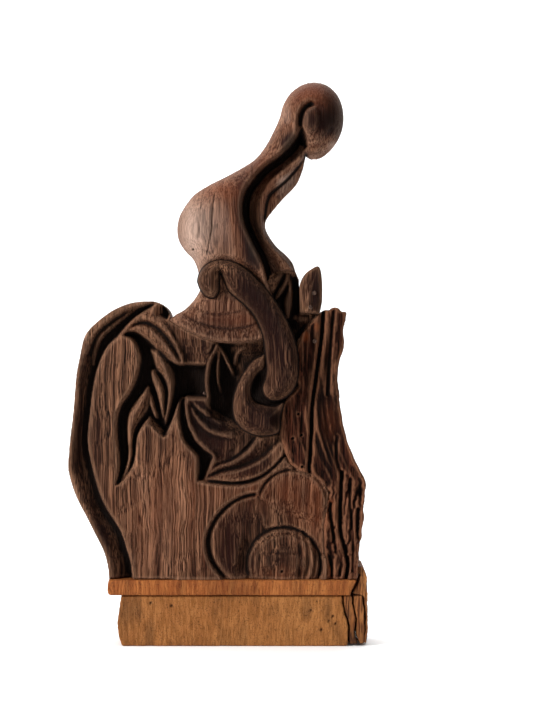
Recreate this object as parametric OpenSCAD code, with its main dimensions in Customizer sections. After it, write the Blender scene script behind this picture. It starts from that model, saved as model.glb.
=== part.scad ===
// Carved headrest panel: an upright board with a swan-neck finial, leaf and
// scroll relief and a plain foot. The carved side faces -Y, and Z is up.

/* [Thickness] */
// Overall depth, from the tendril's crown to the flat back
overall_d = 48; // [46:0.5:60]
// Depth of the board behind its plain field
board_t = 32; // [28:0.5:32]
// How far leaves and rim stand above the field
relief_h = 4; // [3:0.5:4]
// Depth of the rim's groove below the field
groove_d = 6; // [3:0.5:10]
// Depth of the dark pockets between the leaves
pocket_d = 9; // [5:0.5:14]
// Depth of the channel that runs down the neck
neck_channel_d = 11; // [6:0.5:14]

/* [Foot] */
// Height of the foot under the rail
foot_h = 34; // [30:0.5:36]
// Thickness of the foot
foot_t = 30; // [24:0.5:31]
// Height of the rail
rail_h = 10.5; // [8:0.5:12]
// How far the rail stands in front of the board's field
rail_proud = 1.5; // [0.5:0.5:3]

/* [Joints] */
// Diameter of the two pegs in the foot
dowel_d = 10; // [6:0.5:12]
// Length of the pegs
dowel_l = 58; // [50:1:62]
// Diameter of the brads
brad_d = 1.8; // [1.2:0.1:2]
// Diameter of the brads' heads
brad_head_d = 3; // [2.4:0.1:4]
// Length of the brads
brad_l = 24; // [22:1:26]
// Thickness of the board's lap behind the stave and the leaf
lap_t = 16; // [14:0.5:18]

/* [Hidden] */
$fn = 48;

// Planes across the depth
back = overall_d / 2;
field = back - board_t;
relief = field - relief_h;
crown = -overall_d / 2;
rail_face = field - rail_proud;
leaf_front = field - 6;
stave_face = field - 2;
foot_face = (rail_face + back - foot_t) / 2;
foot_back = foot_face + foot_t;
lap_face = back - lap_t;
rail_top = foot_h + rail_h;
collar_face = relief - 3;
neck_face = relief - 5;
past = 10;

// Where the pegs and the brads go
dowel_x = [-45, 30];
dowel_y = (foot_face + foot_back) / 2;
dowel_z = foot_h + rail_h / 2;
brad_at = [[-9, 168.5], [64, 235.5], [61.5, 226], [64.5, 203.5]];
brad_face = [relief, leaf_front, leaf_front, stave_face];
brad_head_t = 1;
// Stub tenon that holds the neck in the board, its corner and its size
stub_at = [1, 2, 188];
stub_size = [20, 12, 18];
stub_slack = 0.2;

// Outlines in the board's plane, as [x, z]
wing = [[-74, 35], [-73, 45], [-74, 54], [-77, 64], [-83, 76], [-88.5, 87], [-94, 97.5], [-98, 108],
        [-100.5, 119], [-100, 127], [-99, 139], [-97.5, 151], [-96.5, 161], [-95, 180], [-93, 191],
        [-90, 205.5], [-82, 216], [-69, 225], [-58, 229.5], [-47, 230.5], [-40, 230], [-35.5, 226.5],
        [-32, 220.5]];
groove_inner = [[-57.5, 45], [-58.5, 53.5], [-61.5, 64], [-66, 77], [-74, 89.5], [-78.5, 98.5], [-82, 109],
                [-85, 121], [-87.5, 133], [-87.5, 145], [-86, 156], [-84.5, 168.5], [-82.5, 181],
                [-80, 188.5], [-75.5, 198], [-67, 207]];
groove_outer = [[-65, 45], [-66, 54], [-69, 65], [-74, 79], [-81, 91.5], [-86, 101], [-89.5, 111],
                [-92.5, 122], [-94, 133], [-93.5, 145], [-92, 157], [-90.5, 170], [-88.5, 182],
                [-86, 192], [-81, 202.5], [-70, 213]];
collar_edge = [[-32, 218.5], [-18, 212], [-9.5, 207.5], [-1.5, 202.5], [9, 201.5], [21, 202.5], [29, 204]];
neck_side = [[29, 204], [34, 218], [37, 232], [39, 246], [41, 258], [39, 267]];
crest = [[45, 262], [50, 256], [52, 248], [53.5, 246]];
stave_side = [[67, 221], [60.5, 214], [55, 207.5], [53, 200.5], [51.5, 194.5], [51.5, 186], [52.5, 178],
              [54.5, 173.5], [52, 170.5], [47, 166], [44, 162.5], [42.5, 152.5], [41.5, 144.5], [42, 137.5],
              [45, 128.5], [48.5, 121.5], [54, 117], [61, 114.5], [68, 110.5], [73, 103], [73.5, 95],
              [71, 85], [70, 70], [71, 57], [72, 45]];
stave_edge = [[68, 222.5], [74.5, 224], [79.5, 225.5], [85, 223], [84, 209.5], [84, 204], [81, 191],
              [80, 182], [80.5, 171], [82, 157.5], [84, 145], [87.5, 134], [91, 124], [95, 117],
              [98.5, 109.5], [98, 100], [97, 85], [95.5, 72], [94, 63], [93.5, 55.5], [93, 45]];
leaf_outline = [[54, 222.5], [54, 240], [57.5, 248], [66.5, 253.5], [68.5, 249], [69.5, 239], [69.5, 230],
                [68, 222.5]];

// Leaves, blades and lobes of the relief
upper_leaf = [[-67, 207.5], [-58, 217], [-50, 223], [-41.5, 228], [-40.5, 220], [-31, 213], [-26, 204.5],
              [-23, 194.5], [-23.5, 187], [-33.5, 190], [-44.5, 199.5], [-55.5, 209]];
leaf_a = [[-44, 198], [-42, 186], [-36.5, 181], [-33.5, 173], [-33, 165], [-35.5, 150], [-35, 146],
          [-32.5, 154], [-30, 163], [-29, 172], [-29, 180], [-32, 189]];
leaf_c = [[-48, 175.5], [-52, 169], [-57, 162], [-60, 154], [-61, 145], [-61, 136], [-62.5, 124],
          [-64, 115], [-68, 108], [-62.5, 114], [-59, 121], [-58, 129.5], [-57, 139], [-55, 147],
          [-52, 153], [-46.5, 158], [-45.5, 168]];
leaf_b = [[-45.5, 179], [-44, 171.5], [-40, 160], [-37, 152], [-36, 152.5], [-34, 160], [-34, 168],
          [-35.5, 175.5], [-39.5, 182], [-45, 184.5]];
leaf_d = [[-1, 202], [-5, 195.5], [-8, 186], [-9, 176.5], [-7.5, 169], [-5.5, 162.5], [2, 170.5],
          [5, 178], [8, 182.5], [8, 190], [5, 200]];
leaf_e = [[-20.5, 165.5], [-22, 156], [-19, 147], [-13.5, 139.5], [-6.5, 128.5], [-2, 127.5], [4, 133],
          [10, 137], [15, 141], [10, 147], [4, 151], [-5, 152.5], [-12.5, 156]];
leaf_f = [[-14, 110.5], [-6.5, 114], [1, 119], [10, 122.5], [17, 128.5], [23, 135.5], [26.5, 140],
          [38.5, 138], [44.5, 127.5], [41, 122.5], [32, 115], [23, 110], [12, 108], [-1, 109.5]];
pockets = [[[-28, 168], [-28, 184], [-20, 186], [-9.5, 186], [-10, 176], [-9, 169], [-18, 167]],
           [[-52, 176], [-52, 199], [-46, 200], [-44, 188], [-46, 182], [-47, 177]],
           [[12, 198], [14, 214], [22, 218], [29, 206], [30, 198]]];
teardrop_edge = [[-62.5, 207.5], [-56, 205], [-52.5, 198], [-51.5, 192], [-53, 184], [-55.5, 175.5],
                 [-60, 167], [-65, 161], [-67, 154], [-68, 145], [-67, 136], [-66, 126], [-66, 118],
                 [-67, 109]];
field_step = [[-25, 165], [-28, 152], [-35, 143], [-46, 154]];
veins = [[[-58, 212], [-46, 212], [-36, 205], [-27, 193]],
         [[0, 197], [-1, 188], [0, 179], [-4, 168]],
         [[-18.5, 161], [-17, 155], [-11.5, 147], [-5.5, 142], [8, 140]],
         [[4, 117], [15, 121.5], [24, 125], [32, 131], [37, 136]]];
// Low overlapping lobes at the foot, as [x, z, radius, height over the field]
lobes = [[50, 94, 23.5, 1], [24, 71, 32, 2], [44, 54, 25.5, 3]];

// Splits in the lower right corner, from the top down
split_1 = [[83.5, foot_h], [83.5, 31], [84, 26], [85, 20.5], [87.5, 15], [87, 8], [87, 1]];
split_2 = [[90, foot_h], [90.5, 26.5], [92.5, 17], [91.5, 10], [92.5, 6], [94, 1.5]];
split_3 = [[96.5, foot_h], [97.5, 28], [98, 21], [98.5, 12], [98, 2]];
// Where the rail's right end broke away, from the top down
rail_split = [[94, rail_top], [92.5, foot_h + 6.5], [90.5, foot_h + 3], [90, foot_h]];
// Right edge of the board's lap, behind the leaf's foot and the stave
lap_edge = [[67, 222.5], [72, 222], [74, 205], [72, 180], [74, 150], [80, 125], [84, 105], [84, 85], [83, 60],
            [82, rail_top]];

// Stations of the rounded forms: left edge, right edge, front and back across the depth
neck = [[76.5, 372, 80, 368, -8, 1], [68, 377, 83.5, 361, -18, 11], [60, 377, 84.5, 352, -22, 15],
        [50, 372, 80.5, 338, -22, 15], [43.5, 362, 72.5, 329, -21, 14], [40, 349, 64, 327, -19, 13],
        [33, 336, 58, 325.5, -17, 12], [23.5, 324.5, 55.5, 314, -16, 12], [9, 316, 50, 305.5, -17, 13],
        [-5.5, 308.5, 43, 299, -18, 14], [-16.5, 301, 36.5, 291, -19, 15], [-24.5, 290, 32, 284, -20, 16],
        [-27.5, 277, 33, 276, -20, 17], [-22, 264, 38, 266, -19, 18], [-13, 250, 40, 250, -17, 20],
        [-14, 236, 37, 236, -15, 22], [-23, 224, 36, 224, relief, back]];
tendril = [[-14, 240, -14, 246, -15], [-10, 233.5, -10, 253, -20], [-3, 231.5, -3, 257.5, -22],
           [4.5, 236.5, 6, 257.5, -23], [9, 237, 15, 254.5, -23], [14, 230, 21.5, 249.5, -23],
           [20, 224, 29, 241.5, -23], [26, 216, 38, 231, -24], [29.5, 207, 46.5, 216.5, -24],
           [31, 196, 51.5, 204, -24], [31.5, 185, 54, 188, -24], [30, 177.5, 53, 175, -23],
           [29.5, 171.5, 46, 167, -21], [34, 165, 38, 164, -14]];
boss = [[28.5, 194, 31.5, 192, -15], [22, 189, 29, 184.5, -18], [16.5, 182, 25.5, 180, -20],
        [12, 175, 23, 173, -21], [9.5, 163, 24, 166, -22], [10.5, 151, 27, 162.5, -23],
        [18, 143, 31, 161.5, -23], [27, 140.5, 34.5, 161.5, -23], [36, 141, 39, 161.5, -21],
        [41.5, 146, 42.5, 160, -15]];
// Channel down the neck, one edge and then the other
neck_channel = [[53, 357], [52, 346], [41, 331], [27.5, 317], [19, 305], [16.5, 292.5], [19, 281.5],
                [23, 268], [29, 256], [37, 258], [31, 272], [26.5, 284], [26, 296], [30, 307], [41, 319],
                [53, 331], [57, 342]];
knob_eye = [63.5, 350];
knob_eye_r = 9.5;

// A closed outline through its points, as smooth curves
function wrap(p, i) = p[(i + len(p)) % len(p)];
function blend4(a, b, c, d, t) =
    0.5 * (2 * b + (c - a) * t + (2 * a - 5 * b + 4 * c - d) * t * t + (3 * b - a - 3 * c + d) * t * t * t);
function smooth(p, n) = [for (i = [0:len(p) - 1], k = [0:n - 1])
    blend4(wrap(p, i - 1), wrap(p, i), wrap(p, i + 1), wrap(p, i + 2), k / n)];

// An open line through its points, as smooth curves
function held(p, i) = p[max(0, min(len(p) - 1, i))];
function flow(p, n) = [for (i = [0:len(p) - 2], k = [0:n - 1])
    blend4(held(p, i - 1), p[i], p[i + 1], held(p, i + 2), k / n), p[len(p) - 1]];

// A ribbon of even width along a line
function unit(v) = v / norm(v);
function across(p, i) = let(d = unit(held(p, i + 1) - held(p, i - 1))) [-d.y, d.x];
function ribbon(p, w) = concat(
    [for (i = [0:len(p) - 1]) p[i] + across(p, i) * w / 2],
    [for (i = [len(p) - 1:-1:0]) p[i] - across(p, i) * w / 2]);
function reversed(p) = [for (i = [len(p) - 1:-1:0]) p[i]];

// An outline given depth, from one plane to another
module slab(outline, from, to) {
    translate([0, to, 0]) rotate([90, 0, 0]) linear_extrude(to - from) polygon(outline);
}

// A disc given depth, from one plane to another
module disc(at, r, from, to) {
    translate([at.x, to, at.y]) rotate([90, 0, 0]) cylinder(r = r, h = to - from);
}

// A cut along a line, from in front of the carving down to a plane
module cut(line, w, floor) {
    slab(ribbon(line, w), crown - past, floor);
}

// A rounded form between two edges: its sections are ovals, or half ovals on a flat back
module rounded(stations, flat_back, sides) {
    rings = flow(stations, 2);
    half = is_undef(flat_back) ? 360 / sides : 180 / (sides - 1);
    points = [for (s = rings, k = [0:sides - 1])
        let(a = k * half, mid_x = (s[0] + s[2]) / 2, mid_z = (s[1] + s[3]) / 2,
            mid_y = is_undef(flat_back) ? (s[4] + s[5]) / 2 : flat_back)
        [mid_x + (s[2] - s[0]) / 2 * cos(a), mid_y + (s[4] - mid_y) * sin(a), mid_z + (s[3] - s[1]) / 2 * cos(a)]];
    last = (len(rings) - 1) * sides;
    faces = concat(
        [for (i = [0:len(rings) - 2], k = [0:sides - 1])
            let(a = i * sides + k, b = i * sides + (k + 1) % sides) each [[a, a + sides, b], [b, a + sides, b + sides]]],
        [[for (k = [0:sides - 1]) k]],
        [[for (k = [sides - 1:-1:0]) last + k]]);
    polyhedron(points, faces, convexity = 6);
}

// The ground that a flat-backed form stands on
function footprint(stations) = let(rings = flow(stations, 2)) concat(
    [for (s = rings) [s[0], s[1]]], [for (s = reversed(rings)) [s[2], s[3]]]);

module dowel_holes() {
    for (x = dowel_x) translate([x, dowel_y, dowel_z]) cylinder(d = dowel_d, h = dowel_l, center = true);
}

module brad_holes() {
    for (i = [0:len(brad_at) - 1]) brad(i, brad_at[i], brad_face[i]);
}

module brad(i, at, face) {
    disc(at, brad_d / 2, face, face + brad_l);
    disc(at, brad_head_d / 2, face - brad_head_t / 2, face + brad_head_t / 2);
}

module neck_stub(slack) {
    translate(stub_at - [1, 1, 1] * slack) cube(stub_size + [2, 2, 0] * slack);
}

module carved_board() {
    body = concat(flow(wing, 2), collar_edge, neck_side, crest, [[54, 222.5]], stave_side);
    lap = concat([[54, 222.5], [55, 239], [58.5, 246.5], [66, 251], [67.5, 248], [68.5, 239], [68.5, 230]],
                 lap_edge, [[60, rail_top], [40, 130], [45, 175]]);
    color("#5a3a2c") difference() {
        union() {
            intersection() {
                union() {
                    slab(body, field, back);
                    for (l = lobes) disc([l.x, l.y], l[2], field - l[3], back);
                    for (l = [upper_leaf, leaf_a, leaf_b, leaf_c, leaf_d, leaf_e, leaf_f])
                        slab(smooth(l, 2), relief, back);
                    slab(concat(flow(wing, 2), [[-40, 221], [-57, 218]], reversed(groove_outer)), relief, back);
                    slab(footprint(tendril), relief, back);
                    slab(footprint(boss), relief, back);
                }
                slab(body, crown, back);
            }
            slab(lap, lap_face, back);
        }
        slab(concat(groove_inner, reversed(groove_outer)), crown - past, field + groove_d);
        for (p = pockets) slab(p, crown - past, field + pocket_d);
        cut(flow(teardrop_edge, 2), 2, field + 3);
        cut(flow(field_step, 2), 1.5, field + 2);
        for (v = veins) cut(flow(v, 2), 1.4, relief + 2);
        for (l = lobes) difference() {
            disc([l.x, l.y], l[2] + 1, crown, field + 2);
            disc([l.x, l.y], l[2] - 1, crown - past, back);
            for (m = lobes) if (m[3] > l[3]) disc([m.x, m.y], m[2] + 1, crown - past, back);
        }
        neck_stub(stub_slack);
        dowel_holes();
        brad_holes();
        translate([-120, -60, 0]) cube([240, 120, rail_top]);
    }
}

module weathered_stave() {
    outline = concat([[67, 221]], stave_edge, reversed([for (p = stave_side) if (p.y < 220) p]));
    color("#3a211a") difference() {
        slab(outline, stave_face, back);
        carved_lap();
        cut(flow([[69.5, 223], [67.5, 200], [65, 181], [63, 162], [62, 140], [66, 122]], 2), 1.2, field + 6);
        cut(flow([[76, 218], [73, 190], [72, 160], [77, 130], [84, 104]], 2), 1.2, field + 3);
        cut(flow([[88, 112], [87, 90], [85, 68], [85, 50]], 2), 1.5, field + 5);
        brad_holes();
    }
}

// The space that the board's lap takes behind the stave
module carved_lap() {
    slab(concat([[30, 20], [30, 222.5]], lap_edge, [[82, 20]]), lap_face, back + past);
}

module shoulder_rail() {
    color("#b0764a") difference() {
        slab(concat([[-74, foot_h], [-74, rail_top]], rail_split), rail_face, back);
        dowel_holes();
    }
}

module tenon_block() {
    color("#b5804f") difference() {
        slab(concat([[-64, 0], [-67, 9.5], [-68, 14], [-67, 22], [-65, foot_h]], split_1, [[85, 0]]),
             foot_face, foot_back);
        dowel_holes();
    }
}

module neck_finial() {
    color("#6b5548") difference() {
        union() {
            difference() {
                union() {
                    slab(concat([[-32, 190], [29, 190]], neck_side, [[30, 267], [-2, 240], [-16, 232], [-23, 225],
                                 [-32, 220.5]]), collar_face, back);
                    rounded(neck, undef, 16);
                }
                slab(concat([[-60, 180], [-60, 218.5]], collar_edge, neck_side, [[90, 267], [90, 180]]),
                     crown - past, back + past);
            }
            neck_stub(0);
        }
        slab(neck_channel, crown - past, neck_face + neck_channel_d);
        for (z = [215, 222]) cut(flow([[-24, z + 1], [-10, z], [6, z - 3], [22, z - 1]], 2), 1.4, relief);
        slab(footprint(tendril), crown - past, relief);
        difference() {
            disc(knob_eye, knob_eye_r + 1.5, crown - past, crown + 7);
            disc(knob_eye, knob_eye_r, crown - past, back);
        }
    }
}

module scroll_tendril() {
    color("#5f463a") rounded(tendril, relief, 11);
}

module scroll_boss() {
    color("#6a5048") rounded(boss, relief, 11);
}

module right_leaf() {
    color("#4d3228") difference() {
        slab(leaf_outline, leaf_front, lap_face);
        cut(flow([[60, 224], [62, 236], [64.5, 247]], 2), 1.2, leaf_front + 2);
        brad_holes();
    }
}

module inner_sliver() {
    color("#a0673a") slab(concat(split_1, reversed(split_2)), foot_face, foot_back);
}

module middle_sliver() {
    color("#8f5a34") slab(concat(split_2, reversed(split_3)), foot_face, foot_back);
}

module outer_sliver() {
    color("#5d3a26") slab(concat(split_3, [[98.5, 2], [100, 10], [100.5, 21], [100, 35], [99.5, 46], [98, 50],
                                 [96.5, 53.5], [95.5, 52], [94.5, 48]], rail_split), foot_face, foot_back);
}

module brads() {
    color("#c9c2b4") for (i = [0:len(brad_at) - 1]) brad(i, brad_at[i], brad_face[i]);
}

module dowels() {
    color("#9a6b42") dowel_holes();
}

carved_board();
weathered_stave();
shoulder_rail();
tenon_block();
neck_finial();
scroll_tendril();
scroll_boss();
right_leaf();
inner_sliver();
middle_sliver();
outer_sliver();
brads();
dowels();
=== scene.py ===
"""Carved headrest panel: the weathered board, its scrolls and neck, and the pale foot it stands on."""
import math
import bpy
import numpy as np
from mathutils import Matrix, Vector


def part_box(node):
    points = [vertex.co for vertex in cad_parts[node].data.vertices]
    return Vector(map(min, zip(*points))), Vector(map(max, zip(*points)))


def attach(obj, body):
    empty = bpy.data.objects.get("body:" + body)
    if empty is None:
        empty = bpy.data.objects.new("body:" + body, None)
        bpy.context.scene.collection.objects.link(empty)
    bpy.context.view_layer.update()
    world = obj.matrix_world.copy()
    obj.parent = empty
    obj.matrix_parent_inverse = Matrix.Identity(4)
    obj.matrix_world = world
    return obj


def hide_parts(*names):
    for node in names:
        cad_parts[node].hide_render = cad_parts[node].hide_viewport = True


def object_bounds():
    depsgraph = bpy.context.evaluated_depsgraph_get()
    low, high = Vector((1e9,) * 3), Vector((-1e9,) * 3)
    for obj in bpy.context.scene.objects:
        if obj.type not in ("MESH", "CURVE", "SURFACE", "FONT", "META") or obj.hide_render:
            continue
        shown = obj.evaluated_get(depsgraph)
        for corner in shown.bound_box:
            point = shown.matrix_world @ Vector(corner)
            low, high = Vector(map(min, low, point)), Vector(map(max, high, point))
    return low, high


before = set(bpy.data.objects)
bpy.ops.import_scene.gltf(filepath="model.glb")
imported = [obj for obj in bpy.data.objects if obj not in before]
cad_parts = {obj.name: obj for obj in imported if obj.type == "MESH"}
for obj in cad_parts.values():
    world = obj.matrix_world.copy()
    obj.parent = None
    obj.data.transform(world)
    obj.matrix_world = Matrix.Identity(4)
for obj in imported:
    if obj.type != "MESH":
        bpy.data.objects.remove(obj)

CAD_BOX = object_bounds()
MM = 0.001


def stock(node):
    """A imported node's lowest and highest corners, in millimetres."""
    return [np.array(corner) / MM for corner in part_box(node)]


# The furthest that worn sides may reach, and the depths of the plain back and of the uncarved field
SIDE_MARGIN = 0.02
SIDES = (CAD_BOX[0][0] / MM + SIDE_MARGIN, CAD_BOX[1][0] / MM - SIDE_MARGIN)
RAIL_STANDS_PROUD = 1.5
BACK = stock("carved_board")[1][1]
FIELD = stock("shoulder_rail")[0][1] + RAIL_STANDS_PROUD


# Lines, outlines and distances in the plane of the board, as (x, z) in millimetres

def flow(points, steps=5, closed=False):
    """A smooth line through given points."""
    p = np.array(points, float)
    n = len(p)

    def at(i):
        return p[i % n] if closed else p[min(max(i, 0), n - 1)]

    out = []
    for i in range(n if closed else n - 1):
        a, b, c, d = at(i - 1), at(i), at(i + 1), at(i + 2)
        for k in range(steps):
            t = k / steps
            out.append(0.5 * (2 * b + (c - a) * t + (2 * a - 5 * b + 4 * c - d) * t ** 2
                              + (3 * b - a - 3 * c + d) * t ** 3))
    out.append(p[0] if closed else p[-1])
    return np.array(out)


def stretches(x, z, line):
    """For each straight stretch of a line, its point nearest to every place, and the distance squared."""
    for (x0, z0), (x1, z1) in zip(line[:-1], line[1:]):
        dx, dz = x1 - x0, z1 - z0
        t = np.clip(((x - x0) * dx + (z - z0) * dz) / (dx * dx + dz * dz + 1e-9), 0, 1)
        on_x, on_z = x0 + t * dx, z0 + t * dz
        yield on_x, on_z, (x - on_x) ** 2 + (z - on_z) ** 2


def nearest(x, z, line):
    """The point on a line that is nearest."""
    best = np.full(x.shape, np.inf)
    near_x, near_z = np.zeros(x.shape), np.zeros(x.shape)
    for on_x, on_z, squared in stretches(x, z, line):
        closer = squared < best
        best = np.where(closer, squared, best)
        near_x = np.where(closer, on_x, near_x)
        near_z = np.where(closer, on_z, near_z)
    return near_x, near_z


def reach(x, z, line):
    """Distance to a line."""
    best = np.full(x.shape, np.inf)
    for _, _, squared in stretches(x, z, line):
        best = np.minimum(best, squared)
    return np.sqrt(best)


def within(x, z, outline):
    """True inside a closed outline."""
    hit = np.zeros(x.shape, bool)
    for (x0, z0), (x1, z1) in zip(outline, np.roll(outline, -1, axis=0)):
        if z0 == z1:
            continue
        crosses = (z0 > z) != (z1 > z)
        hit ^= crosses & (x < (x1 - x0) * (z - z0) / (z1 - z0) + x0)
    return hit


def closed_ring(outline):
    """An outline with its first point again at its end."""
    return np.vstack([outline, outline[:1]])


def inset(x, z, outline):
    """Distance to an outline, positive inside it."""
    d = reach(x, z, closed_ring(outline))
    return np.where(within(x, z, outline), d, -d)


def ease(lo, hi, v):
    """A smooth step from 0 at lo to 1 at hi."""
    t = np.clip((v - lo) / (hi - lo), 0, 1)
    return t * t * (3 - 2 * t)


# Wood grain as seeded noise, long along Z

LATTICE = np.random.default_rng(7).random((8, 256, 256))


def fibre(x, z, across, along, layer=0):
    """Smooth noise from -1 to 1, whose streaks are `across` wide and `along` long."""
    u, v = x / across + 71.3 * layer, z / along + 39.7 * layer
    i, j = np.floor(u).astype(int), np.floor(v).astype(int)
    a, b = u - i, v - j
    a, b = a * a * (3 - 2 * a), b * b * (3 - 2 * b)
    n = LATTICE[layer % 8]
    i0, i1, j0, j1 = i % 256, (i + 1) % 256, j % 256, (j + 1) % 256
    low = n[i0, j0] * (1 - a) + n[i1, j0] * a
    high = n[i0, j1] * (1 - a) + n[i1, j1] * a
    return 2 * (low * (1 - b) + high * b) - 1


def weathered(x, z, amount=1.0):
    """Raised hard grain with washed-out soft grain between, in millimetres."""
    sway = 1.6 * fibre(x, z, 30, 60, 1) + 0.5 * fibre(x, z, 9, 24, 2)
    u = x + sway
    ridges = fibre(u, z, 1.7, 26, 3)
    broad = fibre(u, z, 5.5, 50, 4)
    pits = np.minimum(fibre(u, z, 1.3, 9, 5) + 0.35, 0)
    return amount * (0.30 * ridges + 0.28 * broad + 0.55 * pits)


def blur(h, cells, rounds=2):
    """An even blur of a grid of heights."""
    n = max(1, int(round(cells)))
    width = 2 * n + 1
    for _ in range(rounds):
        for axis in (0, 1):
            pad = [(n + 1, n) if k == axis else (0, 0) for k in (0, 1)]
            s = np.cumsum(np.pad(h, pad, mode="edge"), axis=axis)
            h = (np.take(s, range(width, s.shape[axis]), axis=axis)
                 - np.take(s, range(0, s.shape[axis] - width), axis=axis)) / width
    return h


class Carving:
    """A grid of heights over the board's plane, which is cut and raised region by region."""

    def __init__(self, outline, cell, height=0.0):
        self.outline = np.array(outline, float)
        self.cell = cell
        lo, hi = self.outline.min(axis=0) - 2 * cell, self.outline.max(axis=0) + 2 * cell
        self.x, self.z = np.meshgrid(np.arange(lo[0], hi[0] + cell, cell),
                                     np.arange(lo[1], hi[1] + cell, cell), indexing="ij")
        self.edge = inset(self.x, self.z, self.outline)
        self.h = np.full(self.x.shape, float(height))
        self.tone = np.zeros(self.x.shape)
        self.rubbed_and_highlight = np.zeros(self.x.shape)
        self.painted_depth_shade = 0.0

    def near(self, line, margin):
        """The part of the grid round a line, so that small features cost little, or None."""
        lo, hi = line.min(axis=0) - margin, line.max(axis=0) + margin
        i = np.where((self.x[:, 0] >= lo[0]) & (self.x[:, 0] <= hi[0]))[0]
        j = np.where((self.z[0] >= lo[1]) & (self.z[0] <= hi[1]))[0]
        if not len(i) or not len(j):
            return None
        return np.s_[i[0]:i[-1] + 1, j[0]:j[-1] + 1]

    def region(self, outline, strokes, soft=0.7, power=2.0):
        """Inside the outline the surface runs smoothly between strokes, each a line and its height."""
        outline = np.array(outline, float)
        part = self.near(outline, 3)
        if part is None:
            return
        x, z = self.x[part], self.z[part]
        mask = ease(-soft, soft, inset(x, z, outline))
        top, total = np.zeros(x.shape), np.zeros(x.shape)
        for line, height in strokes:
            weight = 1 / (reach(x, z, np.array(line, float)) + 0.15) ** power
            top += weight * height
            total += weight
        self.h[part] = self.h[part] * (1 - mask) + top / total * mask

    def groove(self, line, width, depth, sharp=1.0):
        """A V or U cut along a line."""
        line = np.array(line, float)
        part = self.near(line, width)
        if part is None:
            return
        d = reach(self.x[part], self.z[part], line) / (width / 2)
        self.h[part] -= depth * np.clip(1 - d, 0, 1) ** sharp

    def ridge(self, line, width, height):
        """A raised welt along a line."""
        self.groove(line, width, -height, 1.5)

    def leaf(self, outline, spine, crest, rim, power=1.3):
        """A leaf that falls from the crest of its spine to its rim."""
        ring = flow(outline, 4, True)
        self.region(ring, [(flow(spine, 4), crest), (ring, rim)], soft=0.6, power=power)

    def pin_holes(self, spots, radius, depth):
        """Small round pits that a worm or a pin has left."""
        for sx, sz in spots:
            part = self.near(np.array([[sx, sz]]), radius * 3)
            if part is not None:
                d = np.hypot(self.x[part] - sx, self.z[part] - sz)
                self.h[part] -= depth * (1 - ease(radius * 0.5, radius * 1.3, d))

    def soften(self, width):
        """Rounds every edge cut so far over about this width."""
        self.h = blur(self.h, width / self.cell / 2)


# How much of the front rim's dirt and painted shade, wear and painted highlight, and bare wood runs on down
# the walls
WALL_SHARE = (0.5, 0.25, 1.0)


def shade_maps(carving, fall):
    """Where dirt and painted shade lie in hollows and creases, and where edges are worn and painted with a
    highlight, each from 0 to 1.
    """
    # Outside the outline the surface is taken as lower by fall, so the outline gets a pale rim of wear and
    # painted highlight; a negative fall makes it higher, and the outline gets a dark ring of painted shade
    h = np.where(carving.edge > -carving.cell, carving.h, carving.h - fall)
    wide = blur(h, 2.6 / carving.cell) - h
    fine = blur(h, 0.9 / carving.cell) - h
    # Dirt and painted shade: every dip below the blurred surface is darkened, so hollows, creases and cuts
    # look shaded
    grime_and_shade = np.clip(wide / 2.4 - 0.12, 0, 1) * 0.8 + np.clip(fine / 0.7 - 0.1, 0, 1) * 0.6
    # Wear and painted highlight: convex edges are paled, the fine sharp ones most, as worn wood and as edges
    # catching light
    wear_and_highlight = np.clip(-wide / 2.2 - 0.1, 0, 1) * 0.25 + np.clip(-fine / 0.4 - 0.15, 0, 1) * 1.0
    # Painted shade: the further a point lies behind the field, the darker it is painted
    grime_and_shade += carving.painted_depth_shade * np.clip((-carving.h - 4.5) / 7, 0, 1)
    return np.clip(grime_and_shade, 0, 1), np.clip(wear_and_highlight + carving.rubbed_and_highlight, 0, 1)


def kept_cells(c):
    """The grid's cells inside the outline, the points they use, and which of those lie on the rim."""
    middle_x = (c.x[:-1, :-1] + c.x[1:, 1:]) / 2
    middle_z = (c.z[:-1, :-1] + c.z[1:, 1:]) / 2
    kept = within(middle_x, middle_z, c.outline)
    count = np.zeros(c.x.shape, int)
    for di, dj in ((0, 0), (1, 0), (0, 1), (1, 1)):
        count[di:di + kept.shape[0], dj:dj + kept.shape[1]] += kept
    used = count > 0
    return kept, used, used & (count < 4)


def quads_between(kept, number):
    """One face for each kept cell, from the numbers of its corners."""
    i, j = np.where(kept)
    return np.stack([number[i, j], number[i + 1, j], number[i + 1, j + 1], number[i, j + 1]], axis=1)


def open_edges(quads):
    """The edges that only one face has."""
    pairs = np.vstack([quads[:, [k, (k + 1) % 4]] for k in range(4)])
    _, first, times = np.unique(np.sort(pairs, axis=1), axis=0, return_index=True, return_counts=True)
    return pairs[first[times == 1]]


def walls(start, y_back, border, place, base, steps, sway):
    """Rings of points from the front's rim to the back, and the faces between them."""
    rings, faces = [], []
    upper = border
    for k in range(1, steps + 1):
        t = k / steps
        ring = start.copy()
        ring[:, 1] = start[:, 1] * (1 - t) + y_back * t
        if k < steps:
            worn = sway * fibre(ring[:, 1], ring[:, 2] + ring[:, 0], 1.8, 14, 6)
            ring[:, 0] = np.clip(ring[:, 0] + worn, *SIDES)
        rings.append(ring)
        lower = base + (k - 1) * len(start) + place
        faces.append(np.stack([upper[:, 1], upper[:, 0], lower[:, 0], lower[:, 1]], axis=1))
        upper = lower
    return np.vstack(rings), np.vstack(faces)


def paint(mesh, word, values):
    """Gives every point a value, which the materials read by its name."""
    mesh.attributes.new(word, "FLOAT", "POINT").data.foreach_set("value", values.astype(np.float32))


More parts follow.
